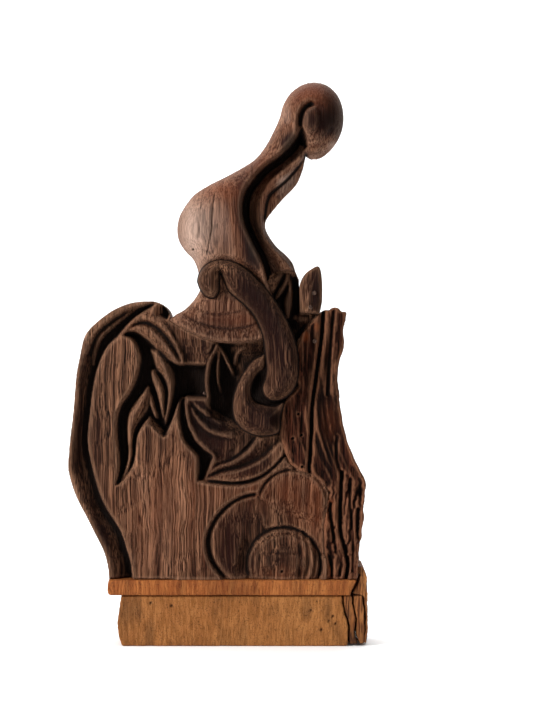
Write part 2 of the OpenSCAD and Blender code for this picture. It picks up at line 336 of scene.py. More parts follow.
def sheet(name, carving, back=BACK, wall_steps=8, fall=6.0, wall_sway=0.25):
    """A closed piece: the carved front, walls down its outline, and a back that is flat or carved too."""
    c = carving
    kept, used, rim = kept_cells(c)
    number = -np.ones(c.x.shape, int)
    number[used] = np.arange(used.sum())
    x, z = c.x.copy(), c.z.copy()
    x[rim], z[rim] = nearest(c.x[rim], c.z[rim], closed_ring(c.outline))
    x = np.clip(x, *SIDES)
    y = FIELD - c.h
    front = np.stack([x[used], y[used], z[used]], axis=1)
    grime_and_shade, wear_and_highlight = shade_maps(c, fall)
    front_maps = np.stack([grime_and_shade[used], wear_and_highlight[used], c.tone[used]], axis=1)
    quads = quads_between(kept, number)

    border = open_edges(quads)
    loop = np.unique(border)
    carved_back = not np.isscalar(back)
    y_back = back[used][loop] if carved_back else np.full(len(loop), back)
    place = np.searchsorted(loop, border)
    wall, wall_faces = walls(front[loop], y_back, border, place, len(front), wall_steps, wall_sway)
    wall_maps = np.tile(front_maps[loop] * WALL_SHARE, (wall_steps, 1))
    points, maps, faces = [front, wall], [front_maps, wall_maps], [quads, wall_faces]
    last_ring = len(front) + len(wall) - len(loop)
    if carved_back:
        inner = used & ~rim
        number[inner] = len(front) + len(wall) + np.arange(inner.sum())
        number[rim] = last_ring + np.searchsorted(loop, number[rim])
        faces.append(quads_between(kept, number)[:, [0, 3, 2, 1]])
        points.append(np.stack([x[inner], back[inner], z[inner]], axis=1))
        clean = np.zeros(inner.sum())
        maps.append(np.stack([clean, clean, c.tone[inner]], axis=1))

    mesh = bpy.data.meshes.new(name)
    mesh.from_pydata((np.vstack(points) * MM).tolist(), [], np.vstack(faces).tolist())
    piece = bpy.data.objects.new(name, mesh)
    bpy.context.collection.objects.link(piece)
    for word, values in zip(("grime_and_shade", "wear_and_highlight", "tone"), np.vstack(maps).T):
        paint(mesh, word, values)
    if not carved_back:
        close_back(piece, last_ring)
    turn_out(piece)
    return piece


def pick(piece):
    """Makes a piece the only one that is selected."""
    bpy.ops.object.select_all(action="DESELECT")
    bpy.context.view_layer.objects.active = piece
    piece.select_set(True)


def close_back(piece, last):
    """Fills the open outline at the flat back, whose points are numbered from last on."""
    pick(piece)
    mesh = piece.data
    flags = np.zeros(len(mesh.vertices), bool)
    flags[last:] = True
    mesh.vertices.foreach_set("select", flags)
    ends = np.zeros(len(mesh.edges) * 2, int)
    mesh.edges.foreach_get("vertices", ends)
    mesh.edges.foreach_set("select", flags[ends.reshape(-1, 2)].all(axis=1))
    mesh.polygons.foreach_set("select", np.zeros(len(mesh.polygons), bool))
    bpy.ops.object.mode_set(mode="EDIT")
    bpy.ops.mesh.select_mode(type="EDGE")
    bpy.ops.mesh.edge_face_add()
    bpy.ops.object.mode_set(mode="OBJECT")


def turn_out(piece):
    """Faces point outwards."""
    pick(piece)
    bpy.ops.object.mode_set(mode="EDIT")
    bpy.ops.mesh.select_all(action="SELECT")
    bpy.ops.mesh.normals_make_consistent(inside=False)
    bpy.ops.object.mode_set(mode="OBJECT")
    bpy.ops.object.shade_smooth()


def spots_over(x, z, spots):
    """Soft round spots added up: each is x, z, half width, half height and strength."""
    total = np.zeros(x.shape)
    for at_x, at_z, wide, high, strength in spots:
        total += strength * np.exp(-((x - at_x) / wide) ** 2 - ((z - at_z) / high) ** 2)
    return total


def domed(edge, width, height):
    """A rounded section: height over the distance from the outline."""
    t = np.clip(edge / width, 0, 1)
    return height * np.sqrt(np.clip(1 - (1 - t) ** 2, 0, 1))


def shelved(edge, radius):
    """How far a worn outer edge falls away near the outline."""
    t = np.clip(edge / radius, 0, 1)
    return -radius * (1 - np.sqrt(np.clip(1 - (1 - t) ** 2, 0, 1)))


# Outlines shared by neighbouring pieces

WING = [(-73, 44.5), (-74, 54), (-77, 64), (-83, 76), (-88.5, 87), (-94, 97.5), (-98, 108),
        (-100.5, 119), (-100, 127), (-99, 139), (-97.5, 151), (-96.5, 161), (-95, 180), (-93, 191),
        (-90, 205), (-86.5, 211), (-82, 215.5), (-76.5, 220), (-69, 225), (-58, 229.2), (-47, 230.3),
        (-40.5, 229.6), (-35.7, 226.6), (-33, 223), (-31.8, 219)]
COLLAR = [(-32.5, 217.5), (-21.7, 210.8), (-10.6, 205.6), (-2, 203), (4, 202.3), (14, 202), (24, 203),
          (30, 204.5)]
NECK_SIDE = [(30, 204.5), (33, 214), (35, 226), (35, 236), (33.2, 243), (34.4, 247.4), (38.5, 249.8),
             (43.5, 251), (47.4, 250.6), (52, 249.4)]
CREST = [(53, 247), (54, 245)]
LEAF_ROOT = [(54.3, 240), (54.3, 223)]
STAVE_SIDE = [(67, 221), (60.5, 214), (55.5, 207.5), (53.3, 200.5), (51.8, 194.5), (51.5, 186),
              (52.5, 178), (54.3, 173.5), (52, 170.5), (47, 166), (44, 162.5), (42.5, 152.5),
              (41.5, 144.5), (42, 137.5), (45, 128.5), (48.5, 121.5), (54, 117.5), (62.5, 115),
              (70, 109.5), (73.5, 102.5), (73, 92), (70.5, 80), (71, 66), (72.5, 55), (72.5, 44.5)]
STAVE_EDGE = [(68, 222.5), (71, 224.3), (74.3, 224.4), (77, 226), (80, 225.6), (82, 223.4), (85, 223),
              (84.9, 219.5), (84.2, 214), (83.8, 209.6), (84.3, 204), (83.4, 198), (81, 191), (80, 182),
              (80.3, 171), (82, 157.5), (84.2, 145), (87.3, 134), (91, 124), (95, 117), (98, 111.5),
              (98.6, 107), (97.9, 100), (97, 92.7), (97.2, 85), (95.5, 72), (94.2, 63), (93.6, 56),
              (93, 44.5)]
FIELD_EDGE = [(-57.6, 40), (-58.5, 53.5), (-61.4, 64), (-66, 77), (-74, 89.6), (-78.5, 98.5),
              (-82, 109), (-85, 121), (-87.3, 133), (-87.3, 145), (-86, 156), (-84.7, 168.5),
              (-82.4, 181), (-80, 189), (-75.5, 198.5), (-71, 204), (-66.7, 207.7)]
TEARDROP = [(-62.5, 208), (-57, 205.6), (-53.2, 199), (-51.8, 192), (-53, 184), (-55.6, 175.5),
            (-60, 167.5), (-64.5, 161), (-66.8, 154), (-67.6, 145), (-67, 136), (-66, 126), (-66, 118),
            (-67.5, 108)]
CUT_EDGE = [(-67.5, 108), (-59.8, 116.5), (-56.4, 124), (-55.4, 132), (-54.4, 140), (-51, 147),
            (-45.8, 153)]
STEP = [(-45.8, 153), (-35.2, 141.5)]
RISE = [(-35.2, 141.5), (-31.3, 151), (-28.6, 159), (-25.6, 166)]
E_GUTTER = [(-25.6, 166), (-25.6, 151), (-22.4, 138), (-16.2, 130.4), (-12.8, 125), (-13.2, 111)]
F_LOWER = [(-13.2, 111), (-2.5, 109.2), (9.6, 108), (20.5, 109.2), (30, 113.2), (38.2, 119.8),
           (44.8, 127)]


def board_outline():
    """Up the wing, along the collar and the neck, round the crest, and down beside the stave."""
    return np.vstack([flow(WING, 4), COLLAR, NECK_SIDE[1:], CREST, LEAF_ROOT, STAVE_SIDE])


def carve_rim(c):
    """The wing's rim: a deep dark gutter beside the shield, rising to a worn outer edge."""
    shield = flow(FIELD_EDGE, 4)
    spray_top = flow([(-66.7, 207.7), (-59.4, 216.3), (-52.6, 222.2), (-40.7, 229)], 4)
    outline = np.vstack([[(-110, 40)], [(-110, 235)], [(-30, 235)], spray_top[::-1], shield[::-1]])
    silhouette = flow(WING, 3)
    inner = np.vstack([shield, spray_top])
    gutter_floor, climb = -9.5, 8.3
    c.region(outline, [(inner + (-1.2, 0), gutter_floor), (silhouette, -1.0)], soft=0.6, power=1.6)
    from_shield, from_edge = reach(c.x, c.z, inner), reach(c.x, c.z, silhouette)
    share = from_shield / (from_shield + from_edge + 1e-6)
    slope = gutter_floor + climb * ease(0.12, 0.95, share)
    c.h = np.where(within(c.x, c.z, outline), slope, c.h)
    # Fine ribs that sweep up the top of the wing
    for line, deep in (([(-83.5, 188), (-82.8, 194), (-80.7, 201.8), (-77.3, 207.8), (-69.6, 214.6),
                         (-57.7, 223.6), (-44, 229)], 3.4),
                       ([(-88, 196), (-85, 206), (-79, 213.5), (-69, 220.5), (-57.5, 226.2),
                         (-43, 229.5)], 2.4)):
        c.ridge(flow(line, 4), 3.2, deep)
        c.groove(flow(line, 4) + (2.0, -1.5), 2.6, 1.8)
    c.groove(flow([(-86.5, 205), (-82.5, 211), (-80.5, 213.5)], 4), 5, 1.6)


def carve_spray(c):
    """Leaves that curl out of the top of the wing, in a deep hollow cut into the shield."""
    hollow = np.vstack([flow(TEARDROP, 4), flow(CUT_EDGE, 4), STEP, flow(RISE, 4),
                        [(-26, 170), (-24, 187), (-27, 196), (-38, 203), (-52, 209), (-58, 211)]])
    c.region(hollow, [(hollow, -11.5)], soft=0.8)
    # A low step at the hollow's end
    c.region([(-46.5, 154), (-35.5, 143), (-34.5, 141), (-36.5, 140), (-47.5, 151.5)],
             [([(-46, 153), (-35.2, 142)], -5.5)], soft=0.6)
    slip = flow([(-47, 172), (-46.7, 166), (-45.6, 158.5), (-42, 151.5), (-40, 152.5), (-42, 160),
                 (-44.6, 168)], 4, True)
    c.region(slip, [([(-46, 170), (-44.5, 161), (-41.5, 152.5)], -3.6), (slip, -6.5)], soft=0.6)
    leaf_c = [(-46.9, 174), (-51, 169.5), (-56.4, 162.7), (-60.6, 155.9), (-61.9, 148), (-61.6, 138),
              (-60.9, 131), (-61.6, 122.7), (-64.8, 113.4), (-66.6, 109), (-62.6, 111.7),
              (-58.6, 119.3), (-57, 127.8), (-57.2, 134.7), (-56, 142.3), (-52.6, 149.3),
              (-47.8, 156.2), (-45.9, 161), (-45.6, 168)]
    ridge_c = [(-46.8, 172.5), (-50.6, 165), (-55.6, 156.5), (-58.4, 147.5), (-58.9, 137),
               (-58.7, 128.5), (-60.6, 119.5), (-65, 111)]
    c.leaf(leaf_c, ridge_c, -1.8, -6.8, power=1.4)
    leaf_b = [(-45.6, 183.4), (-44.6, 177), (-42.4, 170.8), (-39.6, 160), (-37.4, 150.6), (-36.2, 152),
              (-35, 161), (-35, 170), (-38, 178), (-42.6, 185)]
    ridge_b = [(-43.6, 182), (-40, 174), (-38, 165), (-37, 156)]
    c.leaf(leaf_b, ridge_b, -2.0, -6.5)
    leaf_a = [(-45.6, 199), (-43.6, 191), (-41.6, 184.5), (-37, 178.6), (-34.4, 171), (-34.4, 163),
              (-35.6, 152), (-35.6, 146.6), (-33.6, 152), (-31.2, 160), (-29.6, 169.5), (-28.9, 176.5),
              (-29.8, 182), (-32.4, 189), (-36, 194)]
    ridge_a = [(-41.5, 197), (-37.4, 190), (-34, 181.4), (-32.3, 172), (-33.4, 160), (-35.4, 149)]
    c.leaf(leaf_a, ridge_a, -0.8, -5.8)
    # The big curled leaf over them: a raised rim, a groove, and a bright rib
    top = [(-67.2, 207.4), (-61, 214.8), (-54, 221.2), (-47, 226), (-40.9, 229.2), (-35.7, 226.6),
           (-33, 222), (-33.6, 217.5), (-29.4, 210.5), (-25.8, 203), (-23.4, 195), (-22.6, 188.4),
           (-24.2, 186.4), (-29, 188.2), (-35, 191.5), (-41, 196.6), (-45.5, 202), (-51, 206.4),
           (-56.5, 209.4), (-62, 209.6)]
    rib = [(-60, 210.8), (-54, 213), (-47, 211.4), (-40.5, 206.4), (-33.5, 198.4), (-27, 190)]
    rim = [(-62, 212), (-55, 218.2), (-48, 219.2), (-41, 216.6), (-34.4, 211), (-29, 203.2),
           (-25.2, 194.6), (-23.6, 188)]
    gully = [(-60.6, 209.8), (-55, 214.6), (-48, 215.6), (-41, 212.4), (-34.4, 205.6), (-28.6, 197.2),
             (-24.6, 189)]
    crease = [(-41, 229), (-44, 224), (-42.4, 220.5)]
    c.region(flow(top, 4, True), [(flow(top, 4, True)[:40], -2.6), (flow(rib, 4), 0.9), (flow(rim, 4), 1.0),
                                  (flow(gully, 4), -2.8), (crease, 0.5),
                                  (flow([(-56, 208.4), (-45.6, 200), (-36, 190.6), (-26, 186)], 4), -5.4)],
             soft=0.6, power=2.0)
    # A dark facet behind the peak
    c.region([(-41.4, 229.8), (-36, 227.4), (-32.6, 222.6), (-33.5, 218.6), (-42, 221)],
             [([(-41, 229), (-42.5, 221.5)], -1.5), ([(-35, 226), (-33, 219)], -8)], soft=0.6)


def carve_middle(c):
    """The ledge, the black pocket, and the leaves between the shield and the scrolls."""
    ledge = [(-34, 216), (-21.7, 210.8), (-10.6, 205.8), (-2, 203), (-3.5, 198), (-7.2, 190),
             (-8.6, 186), (-23, 187.2), (-23.4, 195), (-25.8, 203), (-29.6, 210.5)]
    c.region(ledge, [([(-31, 213), (-16, 206), (-5, 201)], -1.2), ([(-23, 188), (-9, 187)], -3.6)],
             soft=0.6)
    for z, depth in ((194, 0.5), (199, 0.7), (204, 0.5)):
        c.groove(flow([(-24, z + 0.6), (-17, z), (-6, z + 0.4)], 3), 1.6, depth)
    pocket = [(-29.6, 186), (-28.4, 176), (-29.4, 169), (-30.8, 160.5), (-33.6, 150), (-35, 143.4),
              (-31, 151.5), (-28.4, 159.4), (-25.4, 166.4), (-7.6, 166.4), (-8.6, 170), (-9, 177),
              (-8.4, 187), (-23, 187.4)]
    c.region(pocket, [([(-26, 184), (-20, 168)], -15), ([(-10, 186), (-9, 168)], -11)], soft=0.7)
    # Hollow round the middle leaf, under the collar
    hollow = [(-7.6, 166.4), (-8.8, 172), (-8.8, 186), (-5, 195.6), (-1.4, 203.2), (14, 202.4),
              (31, 204.8), (33, 214), (52, 214), (53, 200), (52, 180), (54, 174), (46, 164.5),
              (42, 150), (42, 138), (26, 140.4), (14, 141), (6, 150), (0, 153), (-6, 158)]
    c.region(hollow, [([(0, 200), (6, 180), (4, 160)], -13), ([(18, 201), (29, 203)], -4.5),
                      ([(12, 190), (18, 180)], -9), ([(34, 206), (46, 190), (44, 176)], -11),
                      ([(20, 145), (40, 145)], -8), ([(26, 167), (27, 179)], -16)], soft=0.7)
    c.ridge(flow([(10.6, 188), (13, 195.6), (17.8, 200.2)], 4), 3.4, 3.6)
    blade = [(-0.6, 203.4), (-4.4, 196.6), (-7.2, 190.6), (-8.8, 184), (-9.2, 176), (-8.4, 169),
             (-5.6, 161.4), (-5, 167), (-5.8, 176), (-5.2, 184), (-3.4, 191.6), (0.4, 198.4)]
    c.leaf(blade, [(-0.8, 202), (-6.2, 189), (-7.6, 178), (-6.2, 164)], -0.6, -3.8)
    vein = [(0.2, 201), (-1.2, 193), (-2, 184), (-1.2, 176), (2.2, 168), (1, 177), (1.2, 186),
            (1.6, 194)]
    c.leaf(vein, [(0.4, 200), (-0.4, 186), (1, 171)], -2.4, -7)
    lobe = [(0.6, 202), (3.4, 198), (6.6, 192), (9.8, 185), (10.4, 180), (7.6, 184), (4, 190.6),
            (1.2, 196)]
    c.leaf(lobe, [(1.4, 200), (5.4, 192), (9.2, 183)], -2.6, -6.5)


def carve_lower_leaves(c):
    """Two broad leaves under the scroll boss, in a gutter that is cut into the shield."""
    gutter = np.vstack([flow(E_GUTTER, 4), flow(F_LOWER, 4), [(46, 126.6), (43, 134), (42, 141)],
                        [(26, 141), (10, 150), (-7, 160), (-8, 166)]])
    c.region(gutter, [(gutter, -9.5)], soft=0.8)
    block = [(-21.5, 167), (-7.6, 166.4), (-5.6, 161.6), (-3, 156), (1, 152), (7, 149), (14, 146),
             (27, 141), (15, 128.4), (8.6, 124), (-1.1, 121), (-8.4, 113.2), (-3, 126.4), (-9.2, 130.4),
             (-15.2, 136.3), (-20.4, 146.5), (-22.2, 155), (-22.6, 162.7)]
    outer = flow([(-21.4, 166), (-22.2, 155), (-20.3, 146.5), (-15.2, 136.3), (-9.2, 130.2),
                  (-3, 126.8)], 4)
    second = flow([(-19, 163), (-16.4, 154.4), (-10.4, 146.8), (-3.4, 142), (8, 139.8)], 4)
    valley = flow([(-19, 160), (-14.6, 149.6), (-8, 142.6), (0, 138.6), (9, 136.6)], 4)
    third = flow([(-18.4, 165), (-14.2, 159.6), (-7.4, 154.4)], 4)
    sunken = flow([(-4, 156), (1, 151.6), (7, 148.6), (14, 145.6)], 4)
    under = flow([(-18, 161.6), (-13, 156), (-6, 151.4), (1, 148.4)], 4)
    c.region(block, [(outer, -0.6), (valley, -4.4), (second, -1.8), (under, -5.6), (third, -1.6),
                     (sunken, -8), ([(-20, 166), (-9, 165)], -1.2), ([(-2, 128), (8, 132)], -4.5),
                     ([(20, 138), (10, 130)], -6)], soft=0.6, power=2.6)
    fold = flow([(-3, 127), (-5.6, 121), (-9, 113)], 4)
    c.ridge(fold, 3.2, 4.5)
    leaf = np.vstack([flow([(-13.6, 110.8), (-7.6, 114), (-1, 120.4), (8.6, 123.6), (15.2, 127.8),
                            (21, 133), (26.5, 140.4)], 4), [(34, 141), (42, 141.5), (44, 133)],
                      flow([(44.4, 127.4), (38, 120.2), (29.8, 113.8), (20.1, 110), (9.6, 108.8),
                            (-2.5, 110)], 4)])
    upper = flow([(-9, 112.8), (-1.1, 119.6), (8.6, 122.8), (15.1, 127), (21, 132), (26.5, 139)], 4)
    middle = flow([(-11, 111.6), (-3, 114.6), (3, 117), (13.5, 119.2), (26.4, 124.8), (36.1, 132.8),
                   (41, 139)], 4)
    lower = flow([(-8, 111.2), (9.6, 110.2), (20, 111.6), (29.8, 115.4), (37.6, 121.4), (43.6, 128.6)], 4)
    c.region(leaf, [(upper, -1.6), (middle, -5.0), (middle + (1.2, -2.2), -1.6), (lower, -0.9)],
             soft=0.6, power=2.4)
    c.groove(flow([(45.4, 127.2), (48, 123.4), (51.8, 118)], 3), 2.6, 4)


def carve_lobes(c):
    """Overlapping round lobes at the foot of the shield."""
    def arc(cx, cz, r, start, end, count=40):
        a = np.radians(np.linspace(start, end, count))
        return np.stack([cx + r * np.cos(a), cz + r * np.sin(a)], axis=1)

    left = flow([(25, 102), (16, 100), (5, 93.5), (-3.5, 83.5), (-7.8, 72), (-6.6, 60), (-1, 50),
                 (8, 41)], 5)
    left_inner = flow([(25, 99.6), (14, 96.6), (5.2, 89.2), (-1.2, 80), (-3.4, 70.5), (-2.2, 62), (2.4, 53),
                       (10, 43)], 5)
    upper = arc(50, 94.5, 24, 168, -5)
    dome = arc(44, 54, 25.5, 200, -20)
    left_area = np.vstack([left, [(60, 40), (60, 70), (30, 84), (25.8, 101)]])
    c.region(left_area, [(left, -5.0), (left_inner, -1.4), (arc(44, 54, 27, 185, 95), -6.0),
                         ([(12, 70), (10, 56)], -2.4)], soft=0.9, power=2.4)
    upper_area = np.vstack([upper, [(74, 60), (50, 60), (30, 80), (25.8, 100)]])
    c.region(upper_area, [(arc(50, 94.5, 21.5, 165, 0), -0.6), (upper, -3.4), ([(27, 99), (29, 86)], -3.4),
                          (arc(44, 54, 28.5, 110, 10), -4.4), ([(52, 100), (60, 92)], -0.2)],
             soft=0.9, power=2.2)
    dome_area = np.vstack([dome, [(70, 38), (18, 38)]])
    c.region(dome_area, [(dome, -7.2), (arc(44, 54, 22.4, 200, -20), -2.8),
                         (arc(44, 54, 19, 200, -20), -1.2), ([(34, 56), (44, 62), (54, 56), (44, 48)], 0.4)],
             soft=0.9, power=2.4)
    c.groove(flow([(28, 61.5), (36, 62.6), (44, 61.6), (55, 62.8)], 3), 1.6, 0.7)
    for line in ([(57, 76), (59.5, 68), (60.5, 58), (58.5, 45)], [(62.5, 70), (65, 60), (63, 45)],
                 [(53, 76), (54.6, 62), (54, 46)]):
        c.groove(flow(line, 4), 2.0, 2.2)


def carve_crest(c):
    """Dark hollow and three small blades between the neck and the free leaf."""
    area = [(30, 206), (34, 216), (36, 228), (36.4, 246), (39, 262), (47, 262), (53, 248), (54.6, 240),
            (54.6, 222), (67, 222), (60, 214), (54, 205), (50, 200)]
    c.region(area, [([(40, 215), (50, 215)], -12), ([(44, 254), (50, 252)], -3),
                    ([(38, 240), (44, 232)], -9), ([(52, 240), (52, 226)], -13),
                    ([(56, 219), (62, 218)], -4)], soft=0.7)
    for outline, spine in (
            ([(31, 245.6), (38, 248.8), (43.6, 250), (41.6, 243.4), (36.4, 234.6), (33, 238)],
             [(33, 243), (38, 245), (42, 247.4)]),
            ([(46.6, 249.4), (47.6, 243.6), (43.4, 236.4), (38, 231.6), (40, 238), (43.4, 243.8)],
             [(46.4, 247.6), (43.8, 240.6), (39.6, 234)]),
            ([(48.2, 247), (50, 237), (49.2, 226.6), (46.8, 218.4), (44, 223), (43.8, 230.4),
              (46.4, 237.4)],
             [(47.8, 244.6), (47, 233), (46.6, 221.6)])):
        c.leaf(outline, spine, -1.8, -5, power=1.4)


def make_board():
    """The broad carved board: wing, leaves, pocket and lobes cut into one field."""
    c = Carving(board_outline(), 0.6)
    c.h += 0.6 * fibre(c.x, c.z, 40, 80, 0)
    carve_rim(c)
    carve_spray(c)
    carve_middle(c)
    carve_crest(c)
    carve_lower_leaves(c)
    carve_lobes(c)
    c.soften(0.5)
    c.h += weathered(c.x, c.z, 0.5)
    c.h += shelved(np.where(c.x < -30, c.edge, 9), 2.2)
    c.pin_holes([(50, 156), (42.6, 50)], 0.7, 3)
    # The board's deep hollows are painted darker with depth: painted shade
    c.painted_depth_shade = 0.75
    c.tone += spots_over(c.x, c.z, [(-30, 88, 34, 40, 0.3), (62, 92, 12, 26, 0.45), (40, 104, 16, 10, 0.25),
                                    (-52, 214, 16, 10, 0.25), (48, 44, 30, 8, 0.3), (6, 104, 20, 10, 0.25)])
    c.tone *= 0.75 + 0.45 * fibre(c.x, c.z, 5, 60, 2)
    c.tone = np.clip(c.tone, 0, 1)
    # The wing's left outer edge is paled: rubbed wear, partly a painted highlight where the edge turns to
    # the light
    c.rubbed_and_highlight = ease(2.4, 0.4, c.edge) * (c.x < -45) * np.clip(0.7 + fibre(c.x, c.z, 5, 5, 3), 0, 1.3)
    # Painted highlight: a bright line along the shield's left edge
    shield_edge = reach(c.x, c.z, flow(FIELD_EDGE, 4) + (1.0, 0))
    c.rubbed_and_highlight += 0.8 * ease(1.3, 0.2, shield_edge) * np.clip(0.7 + fibre(c.x, c.z, 6, 9, 4), 0, 1.2)
    return sheet("carved_board_relief", c)


def make_stave():
    """The split, weather-torn stave down the right side, with its long open cracks."""
    torn_edge = flow(STAVE_EDGE, 6)
    loose = 0.2 + 0.35 * ease(135, 105, torn_edge[:, 1])
    torn_edge[:, 0] += loose * (fibre(torn_edge[:, 1], torn_edge[:, 0], 4.2, 50, 5) - 0.4)
    outline = np.vstack([[(67, 221)], torn_edge, STAVE_SIDE[::-1][:-1]])
    c = Carving(outline, 0.5)
    bend = np.interp(c.z, [40, 60, 80, 100, 110, 124, 145, 171, 191, 226],
                     [93, 94, 96.5, 98, 98, 91, 84.2, 80.3, 81, 84])
    kink = 1.5 * ease(66, 60, c.z) - 0.6 * ease(58, 50, c.z)
    along = c.x - bend - kink
    c.h += 1.2 + 0.8 * fibre(along, c.z, 9, 60, 0)
    c.h += 1.3 * fibre(along, c.z, 3.4, 34, 1) + 0.7 * fibre(along, c.z, 1.7, 20, 2)
    rough = ease(125, 95, c.z)
    c.h += rough * (0.8 * fibre(along, c.z, 1.5, 26, 6) + 0.5 * fibre(c.x, c.z, 2.4, 40, 7))
    c.h -= rough * 2.6 * np.clip(fibre(along, c.z, 2.6, 22, 3) - 0.15, 0, 1)
    jagged = along + 0.9 * fibre(c.x, c.z, 14, 3.2, 0) + 0.5 * fibre(c.x, c.z, 8, 1.6, 1)
    wide_fissures = np.abs(fibre(jagged, c.z, 3.6, 60, 4))
    c.h -= (0.12 + 0.88 * rough) * 4.0 * ease(0.16, 0, wide_fissures)
    fine_fissures = np.abs(fibre(jagged, c.z, 2.0, 46, 5))
    c.h -= (0.1 + 0.9 * rough) * 2.6 * ease(0.14, 0, fine_fissures)
    # The stave's deep fissures are painted darker with depth: painted shade
    c.painted_depth_shade = 0.6
    c.h += 1.2 * ease(9, 0, c.edge) * fibre(c.x, c.z, 4, 7, 5)
    main_crack = flow([(70, 224), (69.6, 211), (67.6, 195), (65.2, 178.7), (63.1, 162.5), (62.3, 146),
                       (61.6, 130), (60.8, 119), (62, 112)], 4)
    c.groove(main_crack, 2.4, 9, 0.7)
    for line, width, depth in (
            ([(77, 224), (75.6, 205), (74, 185), (73, 168)], 1.8, 3.5),
            ([(59, 212), (58, 196), (58.4, 178), (57, 160), (55, 140)], 1.4, 1.8),
            ([(82.5, 116), (81.6, 96), (81.6, 78), (84, 67.5), (86.4, 55), (86, 45)], 2.8, 7),
            ([(93.4, 92), (93, 77), (94.4, 69)], 2.6, 5),
            ([(75.2, 95), (76, 83), (77.6, 71.6), (78.4, 62)], 2.2, 5),
            ([(88.4, 112), (88, 96), (89.4, 82), (90, 66), (89.6, 50)], 2.0, 4),
            ([(79.4, 140), (79, 126), (83, 112)], 1.8, 3),
            ([(74, 60), (76, 52), (75.6, 45)], 2.0, 4)):
        c.groove(flow(line, 4), width, depth, 0.8)
    c.soften(0.5)
    c.h += shelved(c.edge, 1.6) * 0.9
    c.pin_holes([(53.6, 155), (49.8, 138.8), (55.6, 141), (56, 120)], 0.8, 3)
    rubbed_red = ease(11, 2, np.hypot((c.x - 74) / 0.8, (c.z - 150) / 1.9))
    chip = ease(3.4, 1, np.hypot(c.x - 58.4, (c.z - 207) / 1.6))
    chip += ease(2.6, 0.8, np.hypot(c.x - 66, (c.z - 213) / 1.6))
    torn = ease(7, 2, np.hypot(c.x - 72, (c.z - 90) / 2.2))
    torn += 1.4 * ease(3.4, 1.2, np.hypot(c.x - 74, (c.z - 50) / 2.6))
    c.tone += np.clip(rubbed_red * 0.15 + chip * 0.8 + torn * 0.6, 0, 1)
    return sheet("weathered_stave_split", c, wall_sway=0.8, wall_steps=14)


def make_right_leaf():
    """The free leaf behind the crest, high on its right side."""
    tip = flow([(54.4, 232), (54.6, 241), (57.4, 247.6), (62, 251.4), (66.5, 253.3), (68.6, 249.6),
                (69.5, 240), (69.4, 230)], 4)
    outline = np.vstack([[(54.4, 222.8)], tip, [(67.6, 221.3)]])
    c = Carving(outline, 0.45)
    rib = flow([(58.6, 223), (60.5, 233), (63.4, 243), (66.3, 252)], 4)
    c.h += 5 - 4.5 * ease(0, 9, 60.5 - c.x) - 0.25 * reach(c.x, c.z, rib)
    c.h += weathered(c.x, c.z, 0.35) + shelved(c.edge, 2.0)
    return sheet("right_leaf_blade", c, back=stock("right_leaf")[1][1])


NECK_LEFT = [(-32.5, 217.5), (-28, 221.4), (-22, 225), (-16, 231.4), (-12.8, 237), (-12.4, 240),
             (-13.8, 245), (-13.4, 250), (-16.5, 258), (-22, 264), (-26.2, 270.5), (-27.6, 277),
             (-27, 284), (-24.3, 291), (-16.5, 301.4), (-5.5, 308.6), (9, 316), (23.3, 324.6),
             (30, 332), (35.4, 341), (41, 353), (44, 363), (50, 371.5), (59, 376.6), (68, 377),
             (76, 373.2), (81.6, 365.5), (84, 354.5), (82.8, 344.5), (78.5, 335.8), (72.7, 329.4),
             (67, 326.2), (62, 326), (58.7, 328)]
NECK_RIGHT = [(58.7, 328), (57.6, 323), (56.4, 318), (52, 308.5), (43.5, 299.5), (37.6, 292.6),
              (32.6, 286), (31.4, 281), (33.2, 275.5), (38.7, 267.5), (45.3, 261.5), (49.8, 256),
              (52, 249.4)]
CHANNEL_LEFT = [(55.6, 344), (54.2, 342), (48.6, 334), (40.3, 326.7), (28.7, 317.8), (19.6, 305.8),
                (16.6, 296.4), (17.2, 284), (22.2, 271.6), (28.6, 258.6), (31.4, 250), (33, 243)]
CHANNEL_RIGHT = [(59.6, 333.4), (54.8, 328), (48.4, 321), (35.4, 310.2), (29.2, 301), (26.6, 292.9),
                 (27, 280), (33, 268.6), (41, 260), (47, 251.4)]
TENDRIL_LINE = flow([(-5, 243), (4, 248.5), (14, 245), (24, 236), (34, 224), (41, 208), (42, 190)], 3)
FLAP_EDGE = [(58.7, 328.4), (52.9, 320.3), (43.9, 310.6), (35.3, 303.3), (32.6, 298.6), (31, 290),
             (30.6, 285.6), (31.4, 281)]


